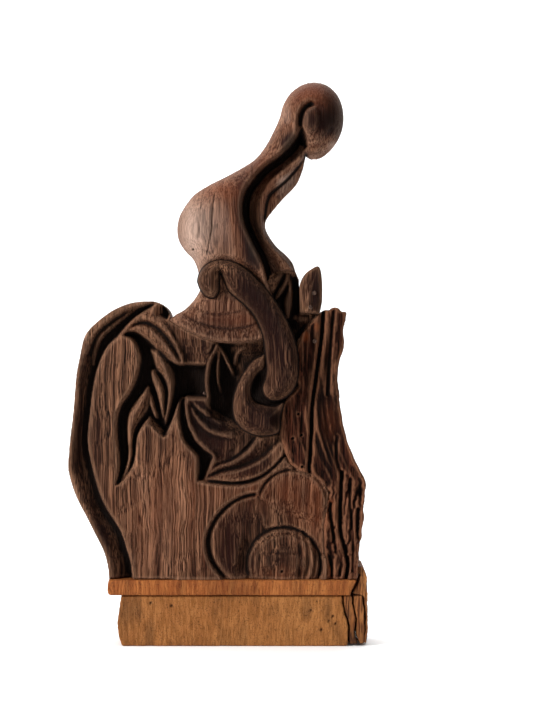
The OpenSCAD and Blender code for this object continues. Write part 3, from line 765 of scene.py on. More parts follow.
def make_neck():
    """The curved neck and its knob, from the collar's rings up, carved in the round above the collar."""
    left, right = flow(NECK_LEFT, 4), flow(NECK_RIGHT, 4)
    free_side = np.vstack([left, right[1:]])
    outline = np.vstack([free_side, NECK_SIDE[::-1], COLLAR[::-1][1:-1]])
    c = Carving(outline, 0.6)
    free = np.where(c.edge > 0, reach(c.x, c.z, free_side), 0)
    # A full round neck that flattens into the collar
    lift = ease(212, 262, c.z)
    rim = -3 - 6 * lift
    c.h = rim + domed(free, 15 + 3 * lift, 8.5 + 10.5 * lift)
    c.h += 2.2 * ease(27, 12, np.hypot(c.x - 64, c.z - 352))
    c.h += 0.8 * fibre(c.x, c.z, 26, 40, 0)
    carve_neck_channel(c, right)
    carve_collar(c)
    carve_knob_eye(c)
    c.soften(0.8)
    c.h += weathered(c.x, c.z, 0.3)
    for line, width, depth in (([(-2, 300), (-3.4, 288), (-4, 276), (-7, 262)], 1.4, 1.0),
                               ([(-9.6, 304), (-11.4, 288), (-12.4, 272)], 1.2, 0.8),
                               ([(22.6, 322), (23, 312), (21.6, 306)], 1.4, 1.0),
                               ([(-4.6, 202), (-4.8, 210)], 1.0, 0.8)):
        c.groove(flow(line, 4), width, depth)
    c.pin_holes([(-20, 259.4), (-16.4, 264.5), (-8.8, 249.5)], 0.7, 2)
    c.tone += spots_over(c.x, c.z, [(-2, 303, 22, 8, 0.45), (22, 322, 16, 8, 0.4), (62, 368, 16, 10, 0.75),
                                    (32, 308, 6, 16, 0.4), (14, 218, 22, 5, 0.3), (8, 286, 10, 20, 0.2)])
    return sheet("neck_finial_swan", c, back=rounded_back(c, free), wall_steps=4)


def carve_neck_channel(c, right):
    """The right side falls away into a deep channel, then rises to a narrow rib with a flap behind it."""
    near_side, far_side = flow(CHANNEL_LEFT, 4), flow(CHANNEL_RIGHT, 4)
    flap_edge = flow(FLAP_EDGE, 4)
    channel = np.vstack([near_side, far_side[::-1]])
    c.region(channel, [(near_side + (1.5, 0), -15), (far_side, -1)], soft=0.6, power=1.4)
    side = np.vstack([far_side, NECK_SIDE[-1:], right[::-1][:-12], FLAP_EDGE])
    rib = far_side + (1.2, -0.6)
    c.region(side, [(rib, 0.2), (right, -6.5), (flap_edge, -1.5)], soft=0.5, power=2.0)
    flap = np.vstack([flap_edge, [p for p in right[::-1] if p[1] > FLAP_EDGE[-1][1]]])
    c.region(flap, [(flap_edge, -6.5), (right, -8)], soft=0.5)
    c.groove(flap_edge, 2.4, 4)


def carve_collar(c):
    """Rings cut round the collar, a hollow beside the tendril, and the collar's rolled lower edge."""
    first = flow([(-24, 229), (-17.4, 227.4), (-10.6, 223.5), (-0.4, 221.2), (8.9, 222.2), (18.3, 224.3),
                  (30, 228)], 4)
    second = flow([(-28, 222.5), (-22.5, 220.7), (-14, 216.5), (-2.9, 212.9), (8.9, 211.9), (20.9, 213.5),
                   (31, 217.5)], 4)
    c.groove(first, 2.2, 1.7)
    c.groove(first + (0.5, -3.4), 1.6, 0.9)
    c.groove(second, 2.2, 1.9)
    c.h -= 3.4 * ease(13, 7.5, reach(c.x, c.z, TENDRIL_LINE))
    from_edge = reach(c.x, c.z, flow(COLLAR, 4))
    c.h += 2.2 * ease(12, 1, from_edge) - 1.6 * ease(1.6, 0, from_edge)


def carve_knob_eye(c):
    """The knob's eye: a long bead behind a dark crescent that runs out of the channel."""
    c.groove(flow([(61.4, 359.6), (57.4, 356.6), (55, 350), (55, 343.6), (57.4, 338)], 4), 5.4, 6.5, 0.8)
    c.groove(flow([(70, 358.4), (66.5, 360.2), (61.4, 359.6)], 4), 2.6, 1.2)
    bead = np.hypot((c.x - 61.6) / 5.8, (c.z - 349.5) / 9.5)
    c.h += 3.0 * np.sqrt(np.clip(1 - bead ** 2, 0, 1))
    low_rim = flow([(62, 331), (67, 330.4), (73, 334.4), (78, 341)], 4)
    c.groove(low_rim + (-2.4, 2.4), 4, 1.0)


def rounded_back(c, free):
    """The neck's back: flat behind the collar, rounded above it."""
    flat = ease(252, 226, c.z)
    middle = FIELD + 8
    back = (middle + domed(free, 17, 14.0)) * (1 - flat) + BACK * flat
    back = np.where(c.edge > -c.cell, back, middle)
    back += 0.25 * (1 - flat) * fibre(c.x, c.z, 2.2, 30, 6)
    return np.minimum(back, BACK)


def make_tendril():
    """The long scroll that curls over the collar and runs down into the boss."""
    outer = [(-13.9, 243), (-12.8, 248), (-9.5, 253), (-3, 257.2), (5, 257.8), (13.5, 255.4),
             (21, 250.4), (26.4, 245), (31.7, 239.3), (38, 231), (43.4, 222.6), (47.8, 214),
             (51.5, 204.6), (53.6, 195), (54, 186), (53.4, 178.4), (51, 171.6), (46.5, 166.6),
             (41, 163.8), (36, 163.4), (32, 165.6), (29.6, 169.5), (29.3, 174), (31, 179), (31.8, 184),
             (31.4, 190), (30.6, 198), (29.4, 206), (26.4, 214.5), (22.4, 221.5), (17, 227.3),
             (12, 231.4), (8.6, 234.4), (6.4, 237), (4.4, 241.6)]
    curl = flow([(1.5, 242), (1.3, 236.6), (-0.6, 232.9), (-3.8, 231.3), (-8.4, 232.9), (-11.9, 237.4),
                 (-13.9, 243)], 4)
    outline = np.vstack([flow(outer, 4), [(1.9, 247.6)], curl[:-1]])
    c = Carving(outline, 0.42)
    width = np.interp(c.z, [160, 185, 215, 245, 260], [10.5, 10.5, 9, 8, 8.5])
    c.h = 4.4 + domed(c.edge, width, 10.2)
    c.h += (1.0 * ease(16, 4, np.hypot(c.x + 4, c.z - 244))
            - 2.0 * ease(12, 0, np.hypot(c.x - 40, c.z - 163)))
    c.h += 0.5 * fibre(c.x, c.z, 14, 22, 0)
    c.soften(0.8)
    c.h += weathered(c.x, c.z, 0.35)
    c.groove(flow([(0.6, 256), (1.2, 252), (1.7, 247.6)], 3), 1.6, 0.8)
    # The negative fall paints a dark ring of painted shade round the tendril's outline
    return sheet("scroll_tendril_carved", c, back=FIELD - 2.5, wall_steps=2, fall=-5.0, wall_sway=0)


BOSS = [(31.6, 195.6), (28.4, 194), (23.1, 191.2), (17.5, 184.3), (12.7, 175.5), (9.8, 166),
        (9.3, 158.5), (10.9, 151.2), (15.6, 145), (22.6, 141), (29.6, 139.9), (36, 140.6),
        (40.6, 142.6), (42, 147), (42.2, 153.6), (44.4, 161.8), (43.6, 163.4), (37.7, 161.1),
        (29.6, 162.3), (25, 164.4), (22.6, 169), (23.2, 174.7), (26.4, 181.1), (31.6, 186.4)]


def make_boss():
    """The round boss that the tendril's end curls into."""
    outline = flow(BOSS, 4, True)[:-1]
    c = Carving(outline, 0.42)
    width = np.interp(c.z, [138, 160, 175, 195], [11, 9, 6.5, 5])
    c.h = 1.6 + domed(c.edge, width, np.interp(c.z, [138, 165, 195], [11.5, 10.5, 7.5]))
    c.h -= 3.4 * ease(14, 0, np.hypot(c.x - 43, c.z - 153))
    c.h += 0.5 * fibre(c.x, c.z, 12, 18, 0)
    c.soften(0.8)
    c.h += weathered(c.x, c.z, 0.35)
    # The negative fall paints a dark ring of painted shade round the boss's outline
    return sheet("scroll_boss_carved", c, back=FIELD - 0.5, wall_steps=2, fall=-5.0, wall_sway=0)


# Brads, foot, rail and split slivers: sawn stock, worked in edit mode

def choose(piece, test):
    """Selects the vertices that a test on their place, in millimetres, picks out."""
    bpy.ops.object.mode_set(mode="OBJECT")
    mesh = piece.data
    mesh.polygons.foreach_set("select", np.zeros(len(mesh.polygons), bool))
    mesh.edges.foreach_set("select", np.zeros(len(mesh.edges), bool))
    mesh.vertices.foreach_set("select", [bool(test(v.co / MM)) for v in mesh.vertices])
    bpy.ops.object.mode_set(mode="EDIT")


def points_of(mesh, word="co"):
    """The points' places, or with "normal" the way they face, one row each."""
    values = np.zeros(len(mesh.vertices) * 3)
    mesh.vertices.foreach_get(word, values)
    return values.reshape(-1, 3)


def plank(name, left, right, front, back, edge, cell, spread, levels=22, rough=0.35):
    """A block sawn at its size, whose two sides are then worked to their lines level by level."""
    left, right = np.array(left, float), np.array(right, float)
    low, high = left[0][1], left[-1][1]
    lo = Vector((min(left[:, 0].min(), right[:, 0].min()), front, low))
    hi = Vector((max(left[:, 0].max(), right[:, 0].max()), back, high))
    bpy.ops.object.select_all(action="DESELECT")
    bpy.ops.mesh.primitive_cube_add(size=1)
    piece = bpy.context.object
    piece.name = name
    bpy.ops.object.mode_set(mode="EDIT")
    bpy.ops.mesh.select_mode(type="VERT")
    bpy.ops.mesh.select_all(action="SELECT")
    bpy.ops.transform.resize(value=(hi - lo) * MM, center_override=(0, 0, 0))
    bpy.ops.transform.translate(value=(hi + lo) / 2 * MM)
    heights = np.linspace(low, high, levels + 1)
    for z in heights[1:-1]:
        bpy.ops.mesh.select_all(action="SELECT")
        bpy.ops.mesh.bisect(plane_co=(0, 0, z * MM), plane_no=(0, 0, 1))
    middle = (lo.x + hi.x) / 2
    for z in heights:
        for side, line, start in ((-1, left, lo.x), (1, right, hi.x)):
            shift = np.interp(z, line[:, 1], line[:, 0]) - start
            choose(piece, lambda p: abs(p.z - z) < 0.01 and (p.x - middle) * side > 0)
            bpy.ops.transform.translate(value=(shift * MM, 0, 0))
    bpy.ops.mesh.select_all(action="SELECT")
    bpy.ops.mesh.select_mode(type="EDGE")
    bpy.ops.mesh.select_all(action="DESELECT")
    bpy.ops.mesh.edges_select_sharp(sharpness=math.radians(50))
    bpy.ops.mesh.bevel(offset=edge * MM, segments=3, profile=0.5, affect="EDGES")
    bpy.ops.mesh.select_mode(type="VERT")
    bpy.ops.object.mode_set(mode="OBJECT")
    remesh = piece.modifiers.new("even", "REMESH")
    remesh.mode = "VOXEL"
    remesh.voxel_size = cell * MM
    bpy.ops.object.modifier_apply(modifier=remesh.name)
    widen_back(piece, left, right, lo, hi, spread)
    roughen(piece, rough, lo, hi)
    return piece


def widen_back(piece, left, right, lo, hi, spread):
    """Ragged sides that meet their neighbours a little way in, so a crack stays dark."""
    for v in piece.data.vertices:
        x, y, z = v.co / MM
        a, b = np.interp(z, left[:, 1], left[:, 0]), np.interp(z, right[:, 1], right[:, 0])
        side = min(max((2 * x - a - b) / max(b - a, 0.1), -1), 1)
        inward = ease(0.02, 0.35, (y - lo.y) / (hi.y - lo.y))
        ragged = 0.5 * abs(float(fibre(np.float64(40 + 7 * side), np.float64(z), 6, 2.6, 7)))
        v.co.x = float(np.clip(x + side * (spread * inward - ragged * (1 - inward)), *SIDES)) * MM


def roughen(piece, amount, lo, hi):
    """Raises the grain on a finished piece, keeping its flat bearing faces."""
    mesh = piece.data
    p, facing = points_of(mesh) / MM, points_of(mesh, "normal")
    grain = weathered(p[:, 0] + 0.6 * p[:, 1], p[:, 2], amount)
    grain += amount * 0.8 * fibre(p[:, 0], p[:, 2], 7, 16, 5)
    on_end = np.abs(facing[:, 2]) > 0.7
    grain = np.minimum(grain, 0.1) * np.where(on_end, 0.4, 1.0)
    p += facing * grain[:, None]
    p[:, 1] = np.clip(p[:, 1], lo.y, hi.y)
    p[:, 2] = np.clip(p[:, 2], lo.z, hi.z)
    mesh.vertices.foreach_set("co", (p * MM).ravel())
    paint(mesh, "grime_and_shade", np.clip(-grain / (amount * 1.2 + 1e-6), 0, 1) * 0.5)
    paint(mesh, "wear_and_highlight", np.zeros(len(p)))
    paint(mesh, "tone", np.zeros(len(p)))
    mesh.update()
    pick(piece)
    bpy.ops.object.shade_smooth()


def patches(piece, spots):
    """Bleaches the carved side where a spot's strength is positive, and darkens it where it is negative.
    Besides real bleaching and stains, many spots are painted highlights on lit edges and faces and painted
    shade in hollows and on sides turned from the light; below -1 the shade is painted nearly black.
    """
    x, y, z = points_of(piece.data).T / MM
    pale = spots_over(x, z, spots) * ease(2, -5, y)
    paint(piece.data, "pale", pale + 0.10 * fibre(x, z, 9, 40, 6))


def upward(points):
    """A line's points in order from the lowest to the highest."""
    return sorted(points, key=lambda p: p[1])


# How far a crack's sides stand from its line in front, and how far they close again further in
CRACK_HALF = 0.45
CRACK_CLOSES = 0.44
CRACK_1 = upward([(83.2, 34), (83.2, 31), (84, 26), (85, 20.5), (87.6, 15), (87.2, 8), (87.3, 0)])
CRACK_2 = upward([(89.9, 34), (90.3, 26.6), (92.6, 17), (91.3, 10), (92.4, 6), (94, 1.5)])
CRACK_3 = upward([(96.6, 34), (97.4, 28), (98.2, 21), (98.4, 12), (98.2, 1.5)])


def shifted(line, dx, low, high):
    """A crack line moved sideways, between two heights."""
    z = np.linspace(low, high, 9)
    line = np.array(line)
    return [(np.interp(v, line[:, 1], line[:, 0]) + dx, v) for v in z]


def make_foot():
    """The pale block that the panel stands on, split along its right end."""
    box = stock("tenon_block")
    left = upward([(-64.4, 0), (-66.4, 6), (-67.4, 11), (-67.6, 16), (-66.6, 24), (-65, 33.6)])
    right = shifted(CRACK_1, -CRACK_HALF, 0, 33.6)
    piece = plank("tenon_block_worn", left, right, box[0][1] + 0.2, box[1][1],
                  edge=0.7, rough=0.3, cell=0.8, spread=CRACK_CLOSES)
    worm_holes(piece, [(-45, 29), (-31, 27), (74, 17), (78.5, 15), (76.5, 20), (62, 24), (69, 11)], 0.75)
    return piece


# Holes are worked only into points less than this far behind the field
HOLE_REACH = 4


def worm_holes(piece, spots, radius):
    """Small round holes that stay dark inside."""
    dirt_and_shade = piece.data.attributes["grime_and_shade"].data
    for v in piece.data.vertices:
        x, y, z = v.co / MM
        if y > FIELD + HOLE_REACH:
            continue
        for sx, sz in spots:
            near_by = 1 - float(ease(radius * 0.6, radius * 1.5, math.hypot(x - sx, z - sz)))
            if near_by > 0:
                v.co.y += 1.5 * near_by * MM
                # The hole's inside is painted dark: dirt and painted shade
                dirt_and_shade[v.index].value = max(dirt_and_shade[v.index].value, near_by)


def make_rail():
    """The red-brown rail between the board and the foot."""
    box = stock("shoulder_rail")
    left = upward([(-72.6, 34.1), (-73.8, 37), (-73.8, 42), (-73, 44.4)])
    right = upward([(88.4, 34.1), (89.4, 37), (91.2, 40.5), (92.8, 44.4)])
    return plank("shoulder_rail_worn", left, right, box[0][1], box[1][1], levels=10, edge=0.7, rough=0.3,
                 cell=1.0, spread=0.4)


def make_slivers():
    """The three splinters that have come away from the foot's right end."""
    made = []
    for name, left, right, foot, set_back in (("inner_sliver", CRACK_1, CRACK_2, 1.6, 0.5),
                                              ("middle_sliver", CRACK_2, CRACK_3, 1.8, 0.3)):
        box = stock(name)
        made.append(plank(name + "_split", shifted(left, CRACK_HALF, foot, 33.7),
                          shifted(right, -CRACK_HALF, foot, 33.7), box[0][1] + set_back, box[1][1],
                          edge=0.4, cell=0.6, spread=CRACK_CLOSES))
    box = stock("outer_sliver")
    outside = upward([(98.9, 2.1), (100, 9.8), (100.2, 21), (100, 35), (99.5, 46), (98.2, 49.7),
                      (96.8, 53)])
    inside = upward([(98.4, 2.1), (98.7, 12), (98.6, 21), (97.4, 33), (97, 34.2), (89.8, 34.9), (90.9, 37),
                    (92.8, 40.5), (94.5, 44.4), (94.9, 48), (95.9, 53)])
    made.append(plank("outer_sliver_split", inside, outside, box[0][1] + 0.4, box[1][1], levels=60,
                      edge=0.2, cell=0.45, spread=0.2))
    return made


HEAD_RADIUS = 1.45
HEAD_DEPTH = 1.2


def make_brads(board, stave, leaf):
    """Four small round-headed brads, each seated where its own surface lies."""
    made = []
    for x, z, host in ((-9, 168.5, board), (64, 235.5, leaf), (61.5, 226, leaf), (64.5, 203.5, stave)):
        found, spot, _, _ = host.ray_cast(Vector((x * MM, -0.1, z * MM)), Vector((0, 1, 0)))
        face = spot.y if found else FIELD * MM
        bpy.ops.object.select_all(action="DESELECT")
        bpy.ops.mesh.primitive_cylinder_add(vertices=24, radius=HEAD_RADIUS * MM, depth=HEAD_DEPTH * MM,
                                            location=(x * MM, face + 0.1 * MM, z * MM),
                                            rotation=(math.pi / 2, 0, 0))
        head = bpy.context.object
        bpy.ops.object.transform_apply(location=True, rotation=True, scale=True)
        choose(head, lambda p: p.y < face / MM)
        bpy.ops.mesh.select_mode(type="FACE")
        bpy.ops.mesh.inset(thickness=0.4 * MM)
        bpy.ops.transform.translate(value=(0, -0.25 * MM, 0))
        bpy.ops.mesh.select_mode(type="VERT")
        bpy.ops.object.mode_set(mode="OBJECT")
        bevel = head.modifiers.new("round", "BEVEL")
        bevel.width = 0.2 * MM
        bevel.segments = 2
        bpy.ops.object.modifier_apply(modifier=bevel.name)
        made.append(head)
    bpy.ops.object.select_all(action="DESELECT")
    for head in made:
        head.select_set(True)
    bpy.context.view_layer.objects.active = made[0]
    bpy.ops.object.join()
    bpy.ops.object.shade_smooth_by_angle(angle=math.radians(40))
    made[0].name = "brads_rusted"
    return made[0]


# Materials

def shade(level):
    """One channel, 0 to 255 as a maker mixes it, as the light it stands for."""
    return level / 255 / 12.92 if level < 10 else ((level / 255 + 0.055) / 1.055) ** 2.4


def srgb(red, green, blue):
    """A mixed colour turned into what the shader needs."""
    return shade(red), shade(green), shade(blue), 1


class Nodes:
    """Short ways to place and join shader nodes."""

    def __init__(self, tree):
        self.tree = tree

    def add(self, kind, settings=(), **inputs):
        node = self.tree.nodes.new(kind)
        for key, value in dict(settings).items():
            setattr(node, key, value)
        for key, value in inputs.items():
            self.feed(node.inputs[key.replace("_", " ")], value)
        return node

    def feed(self, socket, value):
        if isinstance(value, bpy.types.NodeSocket):
            self.tree.links.new(value, socket)
        elif value is not None:
            socket.default_value = value

    def math(self, kind, a, b, clamp=False):
        node = self.add("ShaderNodeMath", {"operation": kind, "use_clamp": clamp})
        self.feed(node.inputs[0], a)
        self.feed(node.inputs[1], b)
        return node.outputs[0]

    def mix(self, factor, a, b):
        node = self.add("ShaderNodeMix", {"data_type": "RGBA"})
        self.feed(node.inputs[0], factor)
        self.feed(node.inputs[6], a)
        self.feed(node.inputs[7], b)
        return node.outputs[2]

    def span(self, value, low, high, to_low=0.0, to_high=1.0):
        node = self.add("ShaderNodeMapRange")
        for key, v in (("Value", value), ("From Min", low), ("From Max", high), ("To Min", to_low),
                       ("To Max", to_high)):
            self.feed(node.inputs[key], v)
        return node.outputs[0]


def new_group(name, inputs, outputs):
    """An empty node group, with its input and output nodes."""
    group = bpy.data.node_groups.new(name, "ShaderNodeTree")
    for word, kind, value in inputs:
        socket = group.interface.new_socket(word, in_out="INPUT", socket_type=kind)
        if value is not None:
            socket.default_value = value
    for word, kind in outputs:
        group.interface.new_socket(word, in_out="OUTPUT", socket_type=kind)
    return group, group.nodes.new("NodeGroupInput"), group.nodes.new("NodeGroupOutput")


def grain_group():
    """Streaks and open pores that run along Z, as masks and a height."""
    group, start, end = new_group(
        "weathered wood grain",
        [("Place", "NodeSocketVector", None), ("Streak Width", "NodeSocketFloat", 0.0016),
         ("Streak Length", "NodeSocketFloat", 0.03), ("Pore Amount", "NodeSocketFloat", 0.5)],
        [("Streak", "NodeSocketFloat"), ("Broad", "NodeSocketFloat"), ("Pores", "NodeSocketFloat"),
         ("Height", "NodeSocketFloat")])
    n = Nodes(group)
    width, length = start.outputs["Streak Width"], start.outputs["Streak Length"]
    wobble = n.add("ShaderNodeTexNoise", Vector=start.outputs["Place"], Scale=28.0, Detail=2.0)
    shift = n.add("ShaderNodeVectorMath", {"operation": "MULTIPLY_ADD"})
    n.feed(shift.inputs[0], wobble.outputs["Color"])
    shift.inputs[1].default_value = (0.006, 0.006, 0.0)
    n.feed(shift.inputs[2], start.outputs["Place"])
    apart = n.add("ShaderNodeSeparateXYZ", Vector=shift.outputs[0])

    def stretched(across, along):
        joined = n.add("ShaderNodeCombineXYZ")
        for k, size in enumerate((across, across, along)):
            n.feed(joined.inputs[k], n.math("DIVIDE", apart.outputs[k], size))
        return joined.outputs[0]

    def noise(across, along, detail, roughness):
        return n.add("ShaderNodeTexNoise", Vector=stretched(across, along), Scale=1.0, Detail=detail,
                     Roughness=roughness)

    fine = noise(width, length, 5.0, 0.62)
    broad = noise(n.math("MULTIPLY", width, 6.0), n.math("MULTIPLY", length, 2.2), 3.0, 0.55)
    pore = noise(n.math("MULTIPLY", width, 0.45), n.math("MULTIPLY", length, 0.11), 2.0, 0.5)
    streak = n.span(fine.outputs[0], 0.40, 0.60)
    sweep = n.span(broad.outputs[0], 0.36, 0.64)
    level = n.span(start.outputs["Pore Amount"], 0.0, 1.0, 0.30, 0.46)
    dots = n.math("SUBTRACT", 1.0, n.span(pore.outputs[0], level, n.math("ADD", level, 0.08)))
    ridges = n.math("ADD", n.math("MULTIPLY", streak, 0.7), n.math("MULTIPLY", sweep, 0.3))
    height = n.math("SUBTRACT", ridges, n.math("MULTIPLY", dots, 0.8))
    for word, value in (("Streak", streak), ("Broad", sweep), ("Pores", dots), ("Height", height)):
        n.feed(end.inputs[word], value)
    return group


# Colours for painted shade: nearly black for the deepest hollows, and a dark one for dirt in the pores and
# for dirt and painted shade in hollows and creases
DEEP_SHADE = (0.004, 0.002, 0.0015, 1)
DIRT_AND_SHADE_COLOUR = (0.006, 0.003, 0.002, 1)


def age_and_light_group():
    """Lays bleaching and painted highlights, dark stains and painted shade, nearly black painted shade, red
    bare wood, worn edges and painted edge highlights, and dirt and painted shade in hollows over a wood
    colour.
    """
    colour = "NodeSocketColor"
    group, start, end = new_group(
        "age handling and painted light",
        [("Wood", colour, (0.1, 0.06, 0.04, 1)), ("Bleached", colour, (0.5, 0.4, 0.35, 1)),
         ("Stained", colour, (0.03, 0.015, 0.01, 1)), ("Bare Wood", colour, (0.2, 0.05, 0.02, 1)),
         ("Worn Edge", colour, (0.3, 0.2, 0.15, 1)), ("Edge Wear", "NodeSocketFloat", 0.5),
         ("Dirt", "NodeSocketFloat", 1.0), ("Streak", "NodeSocketFloat", 0.5),
         ("Pores", "NodeSocketFloat", 0.0)],
        [("Color", colour)])
    n = Nodes(group)

    def map_named(word):
        return n.add("ShaderNodeAttribute", {"attribute_name": word}).outputs["Fac"]

    pale, grime_and_shade, wear_and_highlight, tone = [map_named(w) for w in ("pale", "grime_and_shade", "wear_and_highlight", "tone")]
    uneven = n.span(start.outputs["Streak"], 0.0, 1.0, 0.7, 1.25)
    # Positive pale values bleach the wood and paint highlights and lit faces; negative ones stain it and
    # paint shade
    bleach_and_light = n.math("MULTIPLY", n.math("MAXIMUM", pale, 0.0), uneven, True)
    stain_and_shade = n.math("MULTIPLY", n.math("MULTIPLY", n.math("MINIMUM", pale, 0.0), -1.0),
                   n.math("SUBTRACT", 2.15, uneven), True)
    c = n.mix(bleach_and_light, start.outputs["Wood"], start.outputs["Bleached"])
    c = n.mix(stain_and_shade, c, start.outputs["Stained"])
    c = n.mix(n.span(pale, -1.0, -1.8), c, DEEP_SHADE)
    c = n.mix(n.math("MULTIPLY", tone, uneven, True), c, start.outputs["Bare Wood"])
    # Worn edges, and painted highlights on the edges, from the wear map
    edge = n.math("MULTIPLY", n.math("MULTIPLY", wear_and_highlight, start.outputs["Edge Wear"]), uneven, True)
    c = n.mix(edge, c, start.outputs["Worn Edge"])
    c = n.mix(n.math("MULTIPLY", start.outputs["Pores"], 0.55), c, DIRT_AND_SHADE_COLOUR)
    # Dirt and painted shade in hollows and creases, from the grime map
    dirt_and_shade = n.math("MULTIPLY", n.math("POWER", grime_and_shade, 0.8), start.outputs["Dirt"], True)
    n.feed(end.inputs["Color"], n.mix(dirt_and_shade, c, DIRT_AND_SHADE_COLOUR))
    return group


GRAIN = grain_group()
AGE_AND_LIGHT = age_and_light_group()


def new_material(name):
    """An empty material, and the nodes to fill it with."""
    material = bpy.data.materials.new(name)
    material.use_nodes = True
    material.node_tree.nodes.clear()
    return material, Nodes(material.node_tree)


def old_wood(name, deep, wood, light, bleached, stained_and_shaded, bare, worn, pores, width, wear_and_highlight=0.6, dirt_and_shade=1.0,
             length=0.03, relief=0.0005, rough=0.66, sheen=0.12):
    """Aged wood from seven mixed colours, where the bleached colour also paints highlights, the stained
    colour also paints shade and the worn colour also paints edge highlights; width, length and relief of its
    grain are in metres.
    """
    material, n = new_material(name)
    place = n.add("ShaderNodeTexCoord").outputs["Object"]
    grain = n.add("ShaderNodeGroup", {"node_tree": GRAIN}, Place=place, Streak_Width=width,
                  Streak_Length=length, Pore_Amount=pores)
    base = n.mix(grain.outputs["Streak"], srgb(*deep), srgb(*wood))
    lift = n.math("MULTIPLY", grain.outputs["Broad"], grain.outputs["Streak"])
    base = n.mix(lift, base, srgb(*light))
    age = n.add("ShaderNodeGroup", {"node_tree": AGE_AND_LIGHT}, Wood=base, Bleached=srgb(*bleached),
                Stained=srgb(*stained_and_shaded), Bare_Wood=srgb(*bare), Worn_Edge=srgb(*worn), Edge_Wear=wear_and_highlight,
                Dirt=dirt_and_shade, Streak=grain.outputs["Streak"], Pores=grain.outputs["Pores"])
    bump = n.add("ShaderNodeBump", Height=grain.outputs["Height"], Strength=0.75, Distance=relief)
    gloss = n.span(grain.outputs["Streak"], 0.0, 1.0, rough + 0.1, rough - 0.06)
    surface = n.add("ShaderNodeBsdfPrincipled", Roughness=gloss, Normal=bump.outputs[0])
    n.feed(surface.inputs["Base Color"], age.outputs["Color"])
    surface.inputs["Specular IOR Level"].default_value = sheen
    n.add("ShaderNodeOutputMaterial", Surface=surface.outputs[0])
    return material


def rusted_steel():
    material, n = new_material("rusted brad steel")
    place = n.add("ShaderNodeTexCoord").outputs["Object"]
    mottle = n.add("ShaderNodeTexNoise", Vector=place, Scale=900.0, Detail=4.0)
    colour = n.mix(n.span(mottle.outputs[0], 0.4, 0.6), srgb(38, 26, 22), srgb(96, 74, 62))
    bump = n.add("ShaderNodeBump", Height=mottle.outputs[0], Strength=0.5, Distance=0.0001)
    surface = n.add("ShaderNodeBsdfPrincipled", Metallic=0.8, Roughness=0.55, Normal=bump.outputs[0])
    n.feed(surface.inputs["Base Color"], colour)
    n.add("ShaderNodeOutputMaterial", Surface=surface.outputs[0])
    return material


WEATHERED = old_wood("weathered teak", (9, 4, 2), (66, 38, 25), (152, 107, 80), (172, 138, 116),
                     (28, 10, 6), (112, 56, 30), (146, 108, 84), wear_and_highlight=0.32, dirt_and_shade=1.25, pores=0.1,
                     width=0.0008, length=0.09, relief=0.0013, rough=0.56, sheen=0.05)
BLEACHED = old_wood("bleached teak", (50, 25, 15), (100, 62, 42), (142, 102, 79), (176, 151, 136),
                    (30, 11, 6), (98, 48, 24), (160, 124, 100), wear_and_highlight=0.12, dirt_and_shade=1.15, pores=0.05,
                    width=0.0009, length=0.09, rough=0.56, sheen=0.07)
SPLIT = old_wood("split teak", (8, 3, 2), (46, 19, 12), (92, 50, 34), (126, 88, 66), (14, 4, 2),
                 (120, 58, 28), (132, 88, 64), wear_and_highlight=0.6, dirt_and_shade=1.3, pores=0.2, width=0.0009, length=0.07,
                 relief=0.0009, sheen=0.04)
RAIL = old_wood("rail teak", (112, 58, 25), (138, 76, 34), (162, 100, 50), (186, 122, 68), (44, 22, 12),
                (128, 62, 26), (184, 122, 74), pores=0.1, width=0.0011, length=0.012, dirt_and_shade=0.8,
                relief=0.0002)
FOOT = old_wood("foot teak", (124, 76, 36), (143, 89, 45), (158, 104, 56), (186, 130, 76), (74, 44, 22),
                (140, 76, 38), (180, 132, 86), pores=0.25, width=0.0012, length=0.009, dirt_and_shade=0.8,
                relief=0.0002)
SPLINTER = old_wood("splinter teak", (72, 36, 16), (130, 76, 38), (166, 110, 62), (186, 130, 80),
                    (34, 16, 9), (128, 62, 28), (170, 114, 70), pores=0.2, width=0.001, length=0.03,
                    dirt_and_shade=0.9)
STEEL = rusted_steel()


def finish_as(piece, material, *nodes, slot_name):
    """Gives a piece its material, and its place in the frame."""
    piece.data.materials.clear()
    piece.data.materials.append(material)
    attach(piece, "root")
    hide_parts(*nodes)


board = make_board()
stave = make_stave()
leaf = make_right_leaf()
neck = make_neck()
tendril = make_tendril()
boss = make_boss()
foot = make_foot()
rail = make_rail()
inner, middle, outer = make_slivers()
brads = make_brads(board, stave, leaf)

# Painted shade: the wing's gutter, the black pocket, the hollows under the collar and by the crest, and the
# corner by the middle leaf are darkened, the deepest nearly black; other dark spots darken the leaves, lobes
# and ledge. Pale spots on the wing's left outer edge are worn wood, partly a painted highlight.
patches(board, [(12, 172, 30, 34, -0.85), (-18, 176, 9, 10, -1.9), (4, 154, 7, 6, -0.8),
                (-7, 147, 18, 17, -1.15), (16, 122, 30, 11, -0.75), (7, 68, 13, 30, -1.0),
                (24, 86, 12, 6, -0.3), (22, 50, 6, 16, -0.4), (44, 54, 22, 16, -0.4),
                (50, 98, 20, 12, -0.35), (-14, 200, 14, 8, -0.35), (-42, 176, 12, 24, -0.3),
                (-54, 214, 12, 8, -0.1), (-91, 150, 8, 80, -1.0), (-76, 74, 7, 30, -1.0),
                (46, 232, 14, 26, -0.8), (-50, 80, 20, 40, 0.05), (-76, 150, 7, 34, -0.15),
                (-97, 168, 2.5, 34, 1.1), (-89, 207, 3.5, 5, 1.1), (-95, 102, 2.5, 10, 0.8)])
patches(stave, [(84, 210, 4, 20, 0.1), (62, 160, 12, 44, -0.4), (74, 152, 9, 44, -1.3),
                (88, 80, 8, 24, 0.1)])
patches(leaf, [(58, 240, 4, 16, -0.5), (66, 236, 5, 18, -1.0)])
